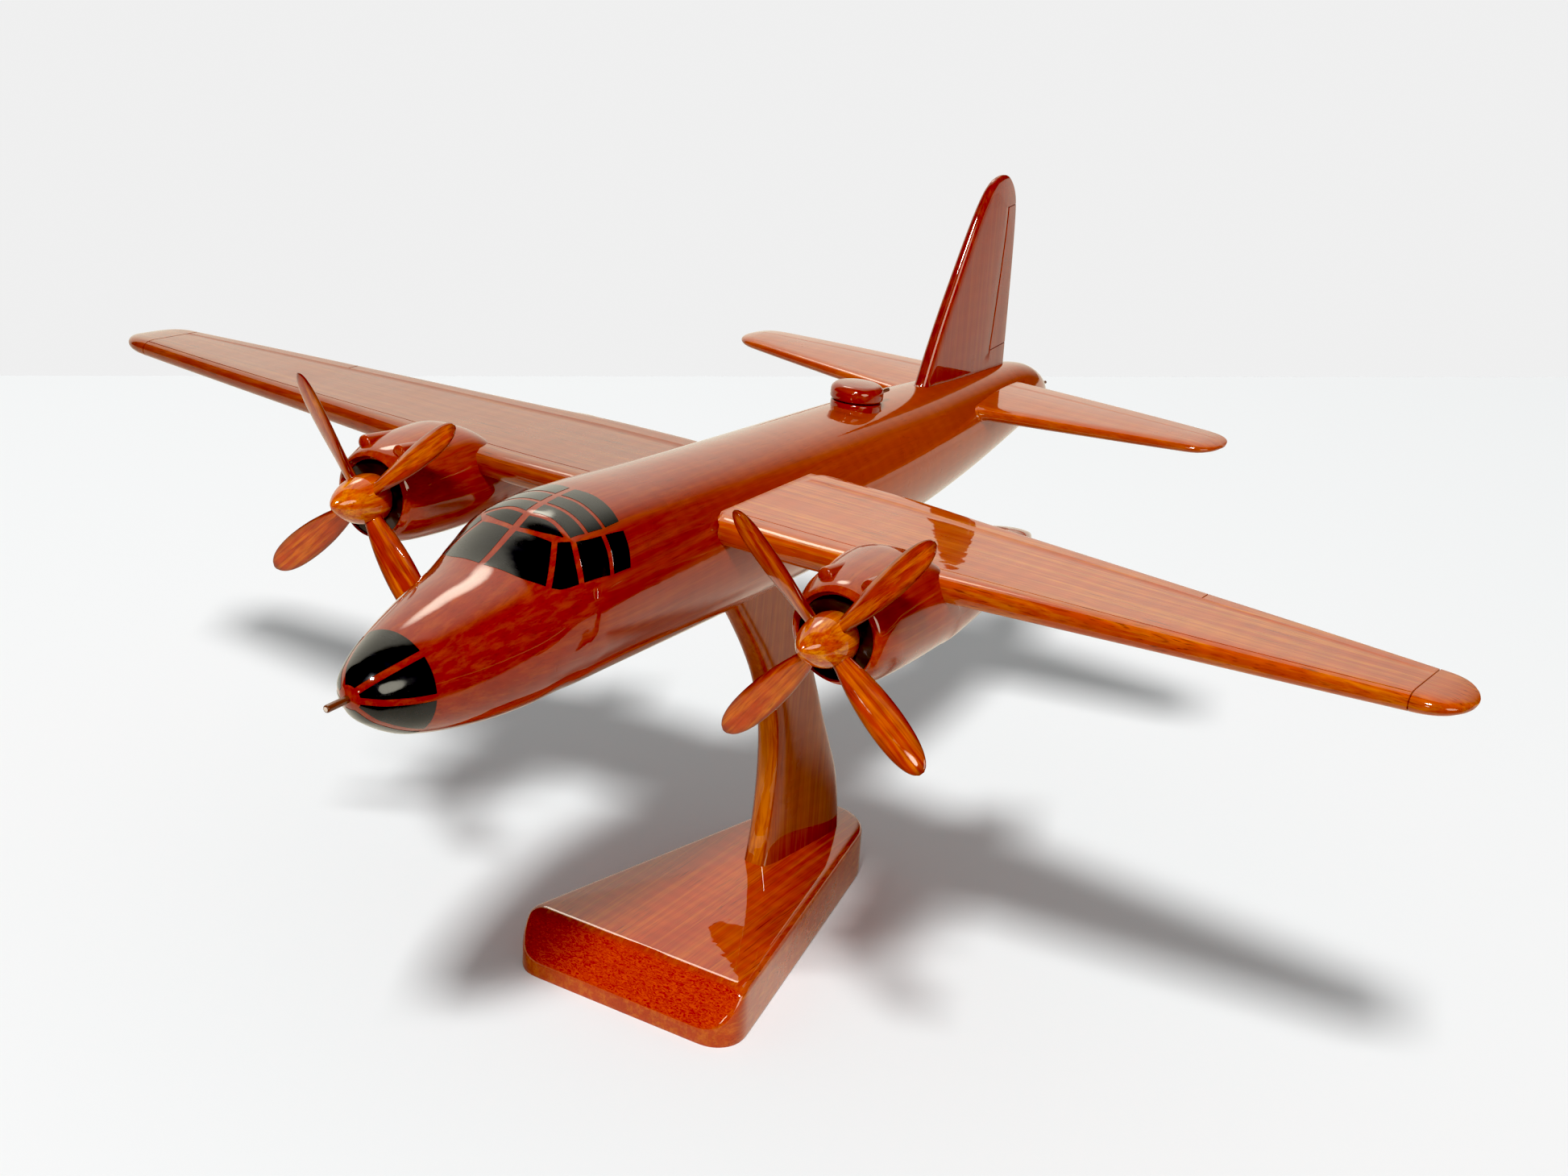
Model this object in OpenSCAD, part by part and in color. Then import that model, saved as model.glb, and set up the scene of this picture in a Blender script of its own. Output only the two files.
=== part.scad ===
// Carved hardwood desk model of a twin-engined 1940s aircraft on its display stand.
// Origin: centre of the base plate's underside. +Z up, nose toward -Y, port wing toward +X.

/* [Aircraft] */
// Half of the wing span, centre line to tip
half_span = 225; // [222:0.5:226]
// Distance from the centre line to each engine
engine_x = 77; // [75:0.1:80]
// Height of the wing's mid-plane above the table
wing_z = 156; // [155.5:0.1:156.5]
// Half thickness of the wing plank at its root
wing_half_t = 4; // [3.6:0.1:4.2]

/* [Propellers] */
// Radius swept by the blade tips
prop_r = 41.2; // [38:0.1:42]
// Nose-up tilt of the propeller axis in degrees
prop_tilt = 7.6; // [6:0.1:8]
// Turn of the port propeller at rest, degrees
port_phase = -50.7; // [-90:0.1:90]
// Turn of the starboard propeller at rest, degrees
starboard_phase = -42.3; // [-90:0.1:90]
// Radius of the propeller pins
pin_r = 1.2; // [1:0.1:1.4]
// Radius of the spinners at the blades
spinner_r = 7.2; // [6.8:0.1:7.6]

/* [Stand] */
// Thickness of the base plate
base_t = 17.6; // [17.6:0.1:17.6]
// Radius of the two support pegs
peg_r = 2; // [1.6:0.1:2.2]
// Height of the pegs' top ends
peg_top = 132; // [128:0.5:134]

/* [Turret] */
// Radius of the turret's fixed ring
ring_r = 8; // [7.5:0.1:8.4]
// Radius of the turning dome
dome_r = 8.3; // [7.8:0.1:8.8]
// Place of the turret along the fuselage
turret_y = 49; // [46:0.5:54]

/* [Fits] */
// Radial running clearance of turning and sliding pins
run_gap = 0.06; // [0.04:0.01:0.09]
// Gap between the stand's head and the belly
seat_gap = 0.3; // [0.2:0.1:0.5]

/* [Hidden] */
$fn = 64;
e = 0.01;

// fuselage: y, top z, bottom z, half width, roundness of the upper half
FUS = [[-184.2, 143.8, 143, 0.5, 2], [-182.9, 146.6, 140, 3.5, 2], [-178.8, 150.4, 135, 7.9, 2],
  [-168, 155, 128.8, 13.3, 2], [-150, 159.6, 124.8, 19.2, 2.05], [-134, 163, 123.4, 22.6, 2.15],
  [-122, 168.4, 123.2, 24.3, 2.2], [-114, 171.8, 122.8, 25.5, 2.2], [-97, 172.8, 122.2, 25.9, 2.1],
  [-60, 170, 120.6, 25.5, 2], [-20, 166.6, 119.4, 25, 2], [30, 162.6, 119, 23.8, 2.1],
  [70, 159.4, 120, 21.3, 2.2], [110, 156, 123, 17.2, 2.1], [149, 152.4, 127.8, 12.6, 2],
  [163, 149.6, 129.4, 10.2, 2], [171, 146, 130.9, 7.8, 2], [176.4, 141.6, 132.8, 4.6, 2],
  [178.8, 138, 135.4, 1.2, 2]];
// nacelle: y, top z, bottom z, half width, drift of its centre from the propeller axis
NAC = [[-88.6, 161.3, 137.4, 11.9, 0], [-88.2, 162.2, 136.6, 12.8, 0], [-87.2, 162.9, 135.9, 13.5, 0],
  [-85.2, 163.5, 135.2, 14.2, -0.1], [-81, 164.1, 134.4, 15, -0.3], [-74, 164.7, 133.7, 15.8, -0.7],
  [-66, 164.9, 133.3, 16.5, -1.2], [-60, 164.6, 133.2, 16.8, -1.4], [-55, 163.2, 133.3, 16.8, -1.5],
  [-51, 160.9, 133.5, 16.6, -1.5], [-48.5, 158, 133.7, 16.4, -1.5], [-44, 156.5, 134, 16, -1.5],
  [-30, 156, 135.2, 14.8, -1.4], [-16, 155.5, 137, 13, -1.2], [-6, 154.4, 138.6, 11, -1],
  [4, 152.2, 140.5, 8.2, -0.7], [12, 149.8, 142.4, 5.2, -0.4], [18, 147.4, 144.1, 2.2, -0.2],
  [20.4, 146, 145, 0.6, -0.1]];
// wing: x, leading edge y, trailing edge y, half thickness factor, mid-plane drop
WING = [[14, -59.4, -8, 1, 0], [20.4, -60, -6.4, 1, 0], [21.6, -61.6, -5.4, 1, 0],
  [23.4, -62.5, -5, 1, 0], [29, -62.8, -5, 0.99, 0], [54, -63, -6, 0.96, 0],
  [77, -61, -8.7, 0.93, 0], [92, -59.5, -10.2, 0.91, 0.05], [141, -54.6, -15, 0.8, 0.1],
  [177, -51, -18.6, 0.72, 0.2], [211, -47.4, -22.4, 0.65, 0.3], [216, -46.8, -23, 0.6, 0.3],
  [220, -45.2, -25, 0.5, 0.3], [223, -42.4, -28.6, 0.34, 0.3], [224.6, -39, -32.4, 0.18, 0.3],
  [half_span, -36.6, -34.8, 0.06, 0.3]];
// tailplane: x, leading edge y, trailing edge y, half thickness, mid-plane z
TAIL = [[6, 100.5, 144, 2.4, 148.1], [12, 102.2, 144, 2.4, 148.1], [50, 110.4, 142, 2.1, 148.2],
  [80, 117, 139.6, 1.8, 148.3], [86, 118.6, 138.6, 1.6, 148.3], [89, 120.6, 137, 1.2, 148.3],
  [91, 123.6, 134.2, 0.7, 148.3], [92, 127.6, 130.4, 0.3, 148.3]];
// fin: z, leading edge y, trailing edge y, half thickness
FIN = [[146, 84.5, 148.6, 2.7], [159, 90, 148.6, 2.6], [176, 98.8, 148.6, 2.4],
  [190, 107.2, 148.5, 2.25], [204, 116, 148, 2.05], [210.4, 120.4, 147.2, 1.9],
  [214, 123.2, 145.8, 1.75], [217, 126, 143.6, 1.5], [219, 129, 141.2, 1.15],
  [220, 131.8, 138.8, 0.7], [220.4, 134, 136.6, 0.3]];
// column: z, front y, rear y, front half width, rear half width
COL = [[17.6, 4.4, 45.6, 4.9, 9.2], [28, 7, 44.4, 5, 9.1], [40, 8.6, 41.6, 5.1, 8.9],
  [51, 9.2, 36.8, 5.1, 8.6], [62, 8.6, 31.8, 5, 8.2], [73, 6.2, 27.4, 4.9, 7.8],
  [84, 1.8, 23, 4.7, 7.4], [95, -4.6, 18.8, 4.5, 7], [105, -11.6, 14.4, 4.3, 6.6],
  [113, -17.6, 11, 4.2, 6.3], [124, -25.6, 6.4, 4.1, 6]];
// blade: radius, chord, thickness, pitch from the disc
BLADE = [[4.6, 4.8, 3, 44], [7.4, 5.4, 3.1, 42], [10, 6.4, 3, 39], [14, 7.8, 2.7, 35],
  [19, 9, 2.4, 31], [25, 9.6, 2.1, 28], [30.5, 9.3, 1.9, 26], [35, 8.2, 1.7, 24],
  [38.3, 6.3, 1.4, 23], [40.3, 3.9, 1, 23], [41.2, 1.5, 0.5, 23]];

disc_y = -92.6;        // blade disc on the centre of the propeller axis
tip_y = -105.4;        // spinner's point
tip_z = 151.3;
mouth_r = 11;          // cowl mouth
peg_y = [-9, 2.5];
screw_y = [17, 34];
dowel_y = [-45, -22];

// smooth interpolation of column k in table t at parameter s
function cell(t, s) = max([0, for (i = [0:len(t) - 2]) if (t[i][0] <= s) i]);
function slope(t, i, k) = let(a = max(i - 1, 0), b = min(i + 1, len(t) - 1))
  (t[b][k] - t[a][k]) / (t[b][0] - t[a][0]);
function ev(t, s, k) = let(i = cell(t, s), h = t[i + 1][0] - t[i][0], u = (s - t[i][0]) / h)
  (2 * pow(u, 3) - 3 * u * u + 1) * t[i][k] + (pow(u, 3) - 2 * u * u + u) * h * slope(t, i, k)
  + (3 * u * u - 2 * pow(u, 3)) * t[i + 1][k] + (pow(u, 3) - u * u) * h * slope(t, i + 1, k);
function spow(v, p) = sign(v) * pow(abs(v), p);
function steps(t, n) = [for (i = [0:len(t) - 2], k = [0:n - 1])
  t[i][0] + (t[i + 1][0] - t[i][0]) * k / n];

// closed skin over rings of equal length
module skin(rings) {
  n = len(rings[0]);
  m = len(rings);
  polyhedron(
    points = [for (r = rings) each r],
    faces = concat([[for (k = [n - 1:-1:0]) k]],
      [for (i = [0:m - 2], k = [0:n - 1]) each [
        [i * n + k, i * n + (k + 1) % n, (i + 1) * n + (k + 1) % n],
        [i * n + k, (i + 1) * n + (k + 1) % n, (i + 1) * n + k]]],
      [[for (k = [0:n - 1]) (m - 1) * n + k]]),
    convexity = 6);
}

// ring across Y from top, bottom and half width, with separate roundness above and below
function body_ring(t, y, n, up, down) = let(zt = ev(t, y, 1), zb = ev(t, y, 2), w = ev(t, y, 3),
  zc = (zt + zb) / 2, h = (zt - zb) / 2) [for (k = [0:n - 1]) let(a = 360 * k / n,
  q = sin(a) > 0 ? up : down) [w * spow(cos(a), 2 / q), y, zc + h * spow(sin(a), 2 / q)]];

module fuselage_blank() {
  ys = concat([-184.2, -183.7], [for (y = steps(FUS, 2)) if (y > -183.6) y], [178.8]);
  skin([for (y = ys) body_ring(FUS, y, 48, ev(FUS, y, 4), 2.05)]);
}

// plank section: chordwise place and half-thickness share, nose to tail and back
function plank(c, nose) = let(f = min(1, c / 16)) [[0, 0], [0.25 * f, 0.42], [0.9 * f, 0.74],
  [2 * f, 0.92], [4.5 * f, 1], [0.34 * c, 1], [0.6 * c, 0.9], [0.82 * c, 0.68],
  [c - 0.9 * f, 0.42], [c - 0.2 * f, 0.25], [c, 0]];
function plank_loop(c, h) = let(p = plank(c, h), n = len(p))
  concat([for (i = [0:n - 1]) [p[i][0], p[i][1] * h]],
    [for (i = [n - 2:-1:1]) [p[i][0], -p[i][1] * h]]);

module wing_blank() {
  skin([for (w = WING) let(h = w[3] * wing_half_t)
    [for (p = plank_loop(w[2] - w[1], h)) [w[0], w[1] + p[0], wing_z - w[4] + p[1]]]]);
}

module tail_blank() {
  skin([for (w = TAIL) [for (p = plank_loop(w[2] - w[1], w[3])) [w[0], w[1] + p[0], w[4] + p[1]]]]);
}

module fin_blank() {
  skin([for (w = FIN) [for (p = plank_loop(w[2] - w[1], w[3])) [-p[1], w[1] + p[0], w[0]]]]);
}

module nacelle_blank() {
  ys = concat([-88.6, -88.2, -87.2, -85.2], [for (y = steps(NAC, 2)) if (y > -85) y], [20.4]);
  translate([engine_x, 0, 0])
    skin([for (y = ys) [for (p = body_ring(NAC, y, 40, y < -84 ? 2 : 2.4, 2.1))
      p + [ev(NAC, y, 4), 0, 0]]]);
}

// moves a shape drawn along +Y from the spinner's point onto the propeller axis
module on_axis() {
  translate([engine_x, tip_y, tip_z]) rotate([-prop_tilt, 0, 0]) children();
}

// cylinder along +Y
module rod_y(r, y0, y1) {
  translate([0, y0, 0]) rotate([-90, 0, 0]) cylinder(r = r, h = y1 - y0);
}

// cylinder along +X
module rod_x(r, x0, x1) {
  translate([x0, 0, 0]) rotate([0, 90, 0]) cylinder(r = r, h = x1 - x0);
}

// ---------- stand ----------
side = 0.2264;                        // taper of the base plate's sides
side_a = atan(side);
function base_w(y) = 26.2 - side * y;
rear_r = 16;
rear_y = 42;
front_r = 9;
front_y = -69.5;
front_cx = base_w(front_y + front_r) - front_r / cos(side_a);
function arc(cx, cy, r, a0, a1, n) = [for (k = [0:n])
  [cx + r * cos(a0 + (a1 - a0) * k / n), cy + r * sin(a0 + (a1 - a0) * k / n)]];

module base_plate() {
  color("saddlebrown") difference() {
    linear_extrude(base_t) polygon(concat(
      arc(0, rear_y, rear_r, side_a, 180 - side_a, 24),
      arc(-front_cx, front_y + front_r, front_r, 180 - side_a, 270, 10),
      arc(front_cx, front_y + front_r, front_r, 270, 360 + side_a, 10)));
    translate([-60, 0, 0]) rotate([90, 0, 90]) linear_extrude(120) polygon([[-60, base_t],
      [-75.7, -2.4], [-90, -2.4], [-90, 30], [-60, 30]]);
    for (y = screw_y) translate([0, y, 0]) {
      translate([0, 0, -1]) cylinder(r = 1.75, h = 30);
      translate([0, 0, -e]) cylinder(r = 3.6, h = 0.6 + e);
      translate([0, 0, 0.6]) cylinder(r1 = 3.6, r2 = 1.75, h = 2.2);
    }
  }
}

function col_ring(z) = let(a = ev(COL, z, 1), b = ev(COL, z, 2), wf = ev(COL, z, 3),
  wr = ev(COL, z, 4), m = (a + b) / 2, h = (b - a) / 2) [for (k = [0:39]) let(t = 360 * k / 40,
  y = m - h * spow(cos(t), 0.36), w = wf + (wr - wf) * (y - a) / (b - a))
  [-w * spow(sin(t), 0.36), y, z]];

module stand_column() {
  color("peru") difference() {
    skin([for (z = concat(steps(COL, 2), [124])) col_ring(z)]);
    translate([0, 0, -seat_gap]) fuselage_blank();
    for (y = peg_y) translate([0, y, 106]) cylinder(r = peg_r, h = 30);
    for (y = screw_y) translate([0, y, 17]) cylinder(r = 1.75, h = 20.6);
  }
}

module column_screws() {
  color("silver") for (y = screw_y) translate([0, y, 0]) difference() {
    union() {
      translate([0, 0, 0.6]) cylinder(r1 = 3.6, r2 = 1.75, h = 2.2);
      translate([0, 0, 2.8]) cylinder(r = 1.75, h = 34.8);
    }
    translate([-0.5, -4, 0]) cube([1, 8, 1.4]);
  }
}

module support_pegs() {
  color("burlywood") for (y = peg_y) translate([0, y, 106]) cylinder(r = peg_r, h = peg_top - 106);
}

// ---------- airframe ----------
module turret_axis() {
  translate([0, turret_y, 160.8]) rotate([-4.4, 0, 0]) children();
}

module wing_dowel_set() {
  for (y = dowel_y) translate([0, y, wing_z]) rod_x(2, 15, 34);
}

module tail_dowel_set() {
  for (y = [113, 130]) translate([0, y, 148.1]) rod_x(1.2, 7, 24);
}

module fin_dowel_set() {
  for (y = [104, 134]) translate([0, y, 146]) cylinder(r = 1.3, h = 22);
}

module fuselage() {
  color("firebrick") difference() {
    fuselage_blank();
    for (y = peg_y) translate([0, y, 110]) cylinder(r = peg_r + run_gap, h = peg_top - 110);
    for (m = [0, 1]) mirror([m, 0, 0]) {
      wing_dowel_set();
      tail_dowel_set();
    }
    fin_dowel_set();
    turret_axis() translate([0, 0, -9]) cylinder(r = 1.5 + run_gap, h = 20);
    translate([0, 0, 143.2]) rod_y(1, -195, -176);
    for (x = [-2, 2]) translate([x, 0, 138.4]) rod_y(0.6, 170, 190);
  }
}

module wing() {
  color("sienna") difference() {
    wing_blank();
    fuselage_blank();
    wing_dowel_set();
  }
}

module port_wing() {
  wing();
}

module starboard_wing() {
  mirror([1, 0, 0]) wing();
}

module wing_dowels() {
  color("burlywood") for (m = [0, 1]) mirror([m, 0, 0]) wing_dowel_set();
}

module intake_set() {
  for (x = [-6.4, 6.4]) translate([engine_x + x, -85.2, 163.2]) rotate([-prop_tilt, 0, 0])
    rod_y(2.25, 0, 18);
}

module nacelle() {
  color("firebrick") difference() {
    nacelle_blank();
    wing_blank();
    on_axis() rod_y(mouth_r, 10, 28);
    on_axis() rod_y(pin_r + run_gap, 20, 42);
    intake_set();
  }
}

module port_nacelle() {
  nacelle();
}

module starboard_nacelle() {
  mirror([1, 0, 0]) nacelle();
}

module port_intakes() {
  color("firebrick") intake_set();
}

module starboard_intakes() {
  color("firebrick") mirror([1, 0, 0]) intake_set();
}

module fin() {
  color("firebrick") difference() {
    fin_blank();
    fuselage_blank();
    fin_dowel_set();
  }
}

module fin_dowels() {
  color("burlywood") fin_dowel_set();
}

module tailplane() {
  color("sienna") difference() {
    tail_blank();
    fuselage_blank();
    tail_dowel_set();
  }
}

module port_tailplane() {
  tailplane();
}

module starboard_tailplane() {
  mirror([1, 0, 0]) tailplane();
}

module tailplane_dowels() {
  color("burlywood") for (m = [0, 1]) mirror([m, 0, 0]) tail_dowel_set();
}

module turret_ring() {
  color("firebrick") difference() {
    turret_axis() rotate_extrude() polygon([[1.5 + run_gap, -3], [ring_r, -3], [ring_r, 1.3],
      [ring_r - 0.2, 1.65], [ring_r - 0.7, 1.9], [1.5 + run_gap, 1.9]]);
    fuselage_blank();
  }
}

module turret_dome() {
  color("firebrick") turret_axis() difference() {
    rotate_extrude() polygon(concat([[0, 2.3], [dome_r - 0.5, 2.3], [dome_r, 2.9], [dome_r, 4.8]],
      [for (a = [15:15:75]) [dome_r - 2.6 + 2.6 * cos(a), 4.8 + 2.4 * sin(a)]],
      [[dome_r - 2.6, 7.2], [dome_r * 0.35, 7.5], [0, 7.6]]));
    translate([0, 0, 2]) cylinder(r = 1.5, h = 3.5);
    for (x = [-4.2, 4.2]) translate([x, 0, 4.2]) rod_y(0.65, 3, 14);
  }
}

module turret_guns() {
  color("saddlebrown") turret_axis() for (x = [-4.2, 4.2]) translate([x, 0, 4.2]) rod_y(0.65, 3, 12.4);
}

module turret_peg() {
  color("burlywood") turret_axis() translate([0, 0, -8]) cylinder(r = 1.5, h = 13.5);
}

module nose_gun() {
  color("saddlebrown") translate([0, 0, 143.2]) rod_y(1, -191.5, -176);
}

module tail_guns() {
  color("saddlebrown") for (x = [-2, 2]) translate([x, 0, 138.4]) rod_y(0.6, 170, 182.5);
}

// ---------- propellers ----------
disc_s = (disc_y - tip_y) / cos(prop_tilt);

module spinner_blank() {
  k = spinner_r / 7.2;
  rotate([-90, 0, 0]) rotate_extrude() polygon([[0, 0], [0.5 * k, 0.15], [1.6 * k, 1.1],
    [2.9 * k, 2.6], [4.5 * k, 5], [5.9 * k, 8], [6.8 * k, 11], [7.2 * k, 14], [7.05 * k, 17],
    [6.6 * k, 18.3], [5.8 * k, 18.8], [0, 18.8]]);
}

// one blade standing along +Z at the disc, chord and thickness turned by its pitch
module blade_blank() {
  translate([0, disc_s, 0]) skin([for (b = BLADE) let(r = b[0] * prop_r / 41.2)
    [for (k = [0:19]) let(a = 360 * k / 20, c = b[1] / 2 * spow(cos(a), 0.9),
      t = b[2] / 2 * spow(sin(a), 1.1))
      [c * cos(b[3]) - t * sin(b[3]), -c * sin(b[3]) - t * cos(b[3]), r]]]);
}

module blade(phase, i) {
  color("chocolate") rotate([0, phase + 90 * i, 0]) union() {
    difference() {
      blade_blank();
      spinner_blank();
    }
    translate([0, disc_s, 2.2]) cylinder(r = 1.2, h = 5.6);
  }
}

module spinner(phase) {
  color("chocolate") difference() {
    spinner_blank();
    for (i = [0:3]) rotate([0, phase + 90 * i, 0]) translate([0, disc_s, 2.2])
      cylinder(r = 1.2, h = 8);
    rod_y(pin_r, 8, 20);
  }
}

module pin() {
  color("silver") rod_y(pin_r, 8, 41);
}

module port_spinner() {
  on_axis() spinner(port_phase);
}

module port_blade_1() {
  on_axis() blade(port_phase, 0);
}

module port_blade_2() {
  on_axis() blade(port_phase, 1);
}

module port_blade_3() {
  on_axis() blade(port_phase, 2);
}

module port_blade_4() {
  on_axis() blade(port_phase, 3);
}

module port_pin() {
  on_axis() pin();
}

module starboard_side() {
  translate([-2 * engine_x, 0, 0]) on_axis() children();
}

module starboard_spinner() {
  starboard_side() spinner(starboard_phase);
}

module starboard_blade_1() {
  starboard_side() blade(starboard_phase, 0);
}

module starboard_blade_2() {
  starboard_side() blade(starboard_phase, 1);
}

module starboard_blade_3() {
  starboard_side() blade(starboard_phase, 2);
}

module starboard_blade_4() {
  starboard_side() blade(starboard_phase, 3);
}

module starboard_pin() {
  starboard_side() pin();
}

base_plate();
stand_column();
column_screws();
support_pegs();
fuselage();
port_wing();
starboard_wing();
wing_dowels();
port_nacelle();
starboard_nacelle();
port_intakes();
starboard_intakes();
fin();
fin_dowels();
port_tailplane();
starboard_tailplane();
tailplane_dowels();
turret_ring();
turret_dome();
turret_guns();
turret_peg();
nose_gun();
tail_guns();
port_spinner();
port_blade_1();
port_blade_2();
port_blade_3();
port_blade_4();
port_pin();
starboard_spinner();
starboard_blade_1();
starboard_blade_2();
starboard_blade_3();
starboard_blade_4();
starboard_pin();
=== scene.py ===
"""Looks for a lacquered mahogany display model of a twin-engined aircraft on its stand.

Lengths in the tables are millimetres in the part's own frame; MM turns them into metres.
"""

import math

import bmesh
import bpy
from mathutils import Matrix, Vector


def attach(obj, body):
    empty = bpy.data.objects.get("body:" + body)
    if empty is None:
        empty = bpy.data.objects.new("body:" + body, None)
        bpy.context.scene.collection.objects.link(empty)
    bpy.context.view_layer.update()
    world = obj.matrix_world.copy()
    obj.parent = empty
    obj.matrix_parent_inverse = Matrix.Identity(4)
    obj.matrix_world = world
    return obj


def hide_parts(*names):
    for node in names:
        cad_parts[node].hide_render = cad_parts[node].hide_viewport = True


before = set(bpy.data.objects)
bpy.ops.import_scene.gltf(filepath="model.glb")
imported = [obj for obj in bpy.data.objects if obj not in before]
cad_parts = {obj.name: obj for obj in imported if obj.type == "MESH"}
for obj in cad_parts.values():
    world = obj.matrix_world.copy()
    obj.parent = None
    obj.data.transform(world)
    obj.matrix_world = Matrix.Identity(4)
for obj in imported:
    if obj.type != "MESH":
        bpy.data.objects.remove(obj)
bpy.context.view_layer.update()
MM = 0.001

# ---------------------------------------- tables
# fuselage: y, top z, bottom z, half width, roundness of the upper half
FUSELAGE = [
    (-184.2, 143.8, 143, 0.5, 2), (-182.9, 146.6, 140, 3.5, 2), (-178.8, 150.4, 135, 7.9, 2),
    (-168, 155, 128.8, 13.3, 2), (-150, 159.6, 124.8, 19.2, 2.05), (-134, 163, 123.4, 22.6, 2.15),
    (-122, 168.4, 123.2, 24.3, 2.2), (-114, 171.8, 122.8, 25.5, 2.2), (-97, 172.8, 122.2, 25.9, 2.1),
    (-60, 170, 120.6, 25.5, 2), (-20, 166.6, 119.4, 25, 2), (30, 162.6, 119, 23.8, 2.1),
    (70, 159.4, 120, 21.3, 2.2), (110, 156, 123, 17.2, 2.1), (149, 152.4, 127.8, 12.6, 2),
    (163, 149.6, 129.4, 10.2, 2), (171, 146, 130.9, 7.8, 2), (176.4, 141.6, 132.8, 4.6, 2),
    (178.8, 138, 135.4, 1.2, 2),
]
LOW_POWER = 2.05  # roundness of the fuselage's lower half
AXIS_Z = 146  # about the middle of the fuselage
# nacelle: y, top z, bottom z, half width, drift of its centre from the propeller axis
NACELLE = [
    (-88.6, 161.3, 137.4, 11.9, 0), (-88.2, 162.2, 136.6, 12.8, 0), (-87.2, 162.9, 135.9, 13.5, 0),
    (-85.2, 163.5, 135.2, 14.2, -0.1), (-81, 164.1, 134.4, 15, -0.3), (-74, 164.7, 133.7, 15.8, -0.7),
    (-66, 164.9, 133.3, 16.5, -1.2), (-60, 164.6, 133.2, 16.8, -1.4), (-55, 163.2, 133.3, 16.8, -1.5),
    (-51, 160.9, 133.5, 16.6, -1.5), (-48.5, 158, 133.7, 16.4, -1.5), (-44, 156.5, 134, 16, -1.5),
    (-30, 156, 135.2, 14.8, -1.4), (-16, 155.5, 137, 13, -1.2), (-6, 154.4, 138.6, 11, -1),
    (4, 152.2, 140.5, 8.2, -0.7), (12, 149.8, 142.4, 5.2, -0.4), (18, 147.4, 144.1, 2.2, -0.2),
    (20.4, 146, 145, 0.6, -0.1),
]
# wing: x, leading edge y, trailing edge y, half thickness, mid-plane z
WING = [
    (14, -59.4, -8, 4, 156), (20.4, -60, -6.4, 4, 156), (21.6, -61.6, -5.4, 4, 156),
    (23.4, -62.5, -5, 4, 156), (29, -62.8, -5, 3.96, 156), (54, -63, -6, 3.84, 156),
    (77, -61, -8.7, 3.72, 156), (92, -59.5, -10.2, 3.64, 155.95), (141, -54.6, -15, 3.2, 155.9),
    (177, -51, -18.6, 2.88, 155.8), (211, -47.4, -22.4, 2.6, 155.7), (216, -46.8, -23, 2.4, 155.7),
    (220, -45.2, -25, 2, 155.7), (223, -42.4, -28.6, 1.36, 155.7), (224.6, -39, -32.4, 0.72, 155.7),
    (225, -36.6, -34.8, 0.24, 155.7),
]
# tailplane: x, leading edge y, trailing edge y, half thickness, mid-plane z
TAIL = [
    (6, 100.5, 144, 2.4, 148.1), (12, 102.2, 144, 2.4, 148.1), (50, 110.4, 142, 2.1, 148.2),
    (80, 117, 139.6, 1.8, 148.3), (86, 118.6, 138.6, 1.6, 148.3), (89, 120.6, 137, 1.2, 148.3),
    (91, 123.6, 134.2, 0.7, 148.3), (92, 127.6, 130.4, 0.3, 148.3),
]
# fin: z, leading edge y, trailing edge y, half thickness, mid-plane x
FIN = [
    (146, 84.5, 148.6, 2.7, 0), (159, 90, 148.6, 2.6, 0), (176, 98.8, 148.6, 2.4, 0),
    (190, 107.2, 148.5, 2.25, 0), (204, 116, 148, 2.05, 0), (210.4, 120.4, 147.2, 1.9, 0),
    (214, 123.2, 145.8, 1.75, 0), (217, 126, 143.6, 1.5, 0), (219, 129, 141.2, 1.15, 0),
    (220, 131.8, 138.8, 0.7, 0), (220.4, 134, 136.6, 0.3, 0),
]
# column: z, front y, rear y, front half width, rear half width
COLUMN = [
    (17.6, 4.4, 45.6, 4.9, 9.2), (28, 7, 44.4, 5, 9.1), (40, 8.6, 41.6, 5.1, 8.9),
    (51, 9.2, 36.8, 5.1, 8.6), (62, 8.6, 31.8, 5, 8.2), (73, 6.2, 27.4, 4.9, 7.8),
    (84, 1.8, 23, 4.7, 7.4), (95, -4.6, 18.8, 4.5, 7), (105, -11.6, 14.4, 4.3, 6.6),
    (113, -17.6, 11, 4.2, 6.3), (124, -25.6, 6.4, 4.1, 6),
]
# blade: radius, chord, thickness, pitch from the disc
BLADE = [
    (4.6, 4.8, 3, 44), (7.4, 5.4, 3.1, 42), (10, 6.4, 3, 39), (14, 7.8, 2.7, 35),
    (19, 9, 2.4, 31), (25, 9.6, 2.1, 28), (30.5, 9.3, 1.9, 26), (35, 8.2, 1.7, 24),
    (38.3, 6.3, 1.4, 23), (40.3, 3.9, 1, 23), (41.2, 1.5, 0.5, 23),
]
SPINNER = [(0, 0), (0.5, 0.15), (1.6, 1.1), (2.9, 2.6), (4.5, 5), (5.9, 8), (6.8, 11), (7.2, 14)]
ENGINE_X, TIP_Y, TIP_Z, TILT = 77, -105.4, 151.3, 7.6
DISC_S = (-92.6 - TIP_Y) / math.cos(math.radians(TILT))  # from the spinner's point to the blades' disc
PHASES = {"port": -50.7, "starboard": -42.3}
TURRET = Matrix.Translation((0, 49, 160.8)) @ Matrix.Rotation(math.radians(-4.4), 4, "X")
SIDES = ("port", "starboard")


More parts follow.
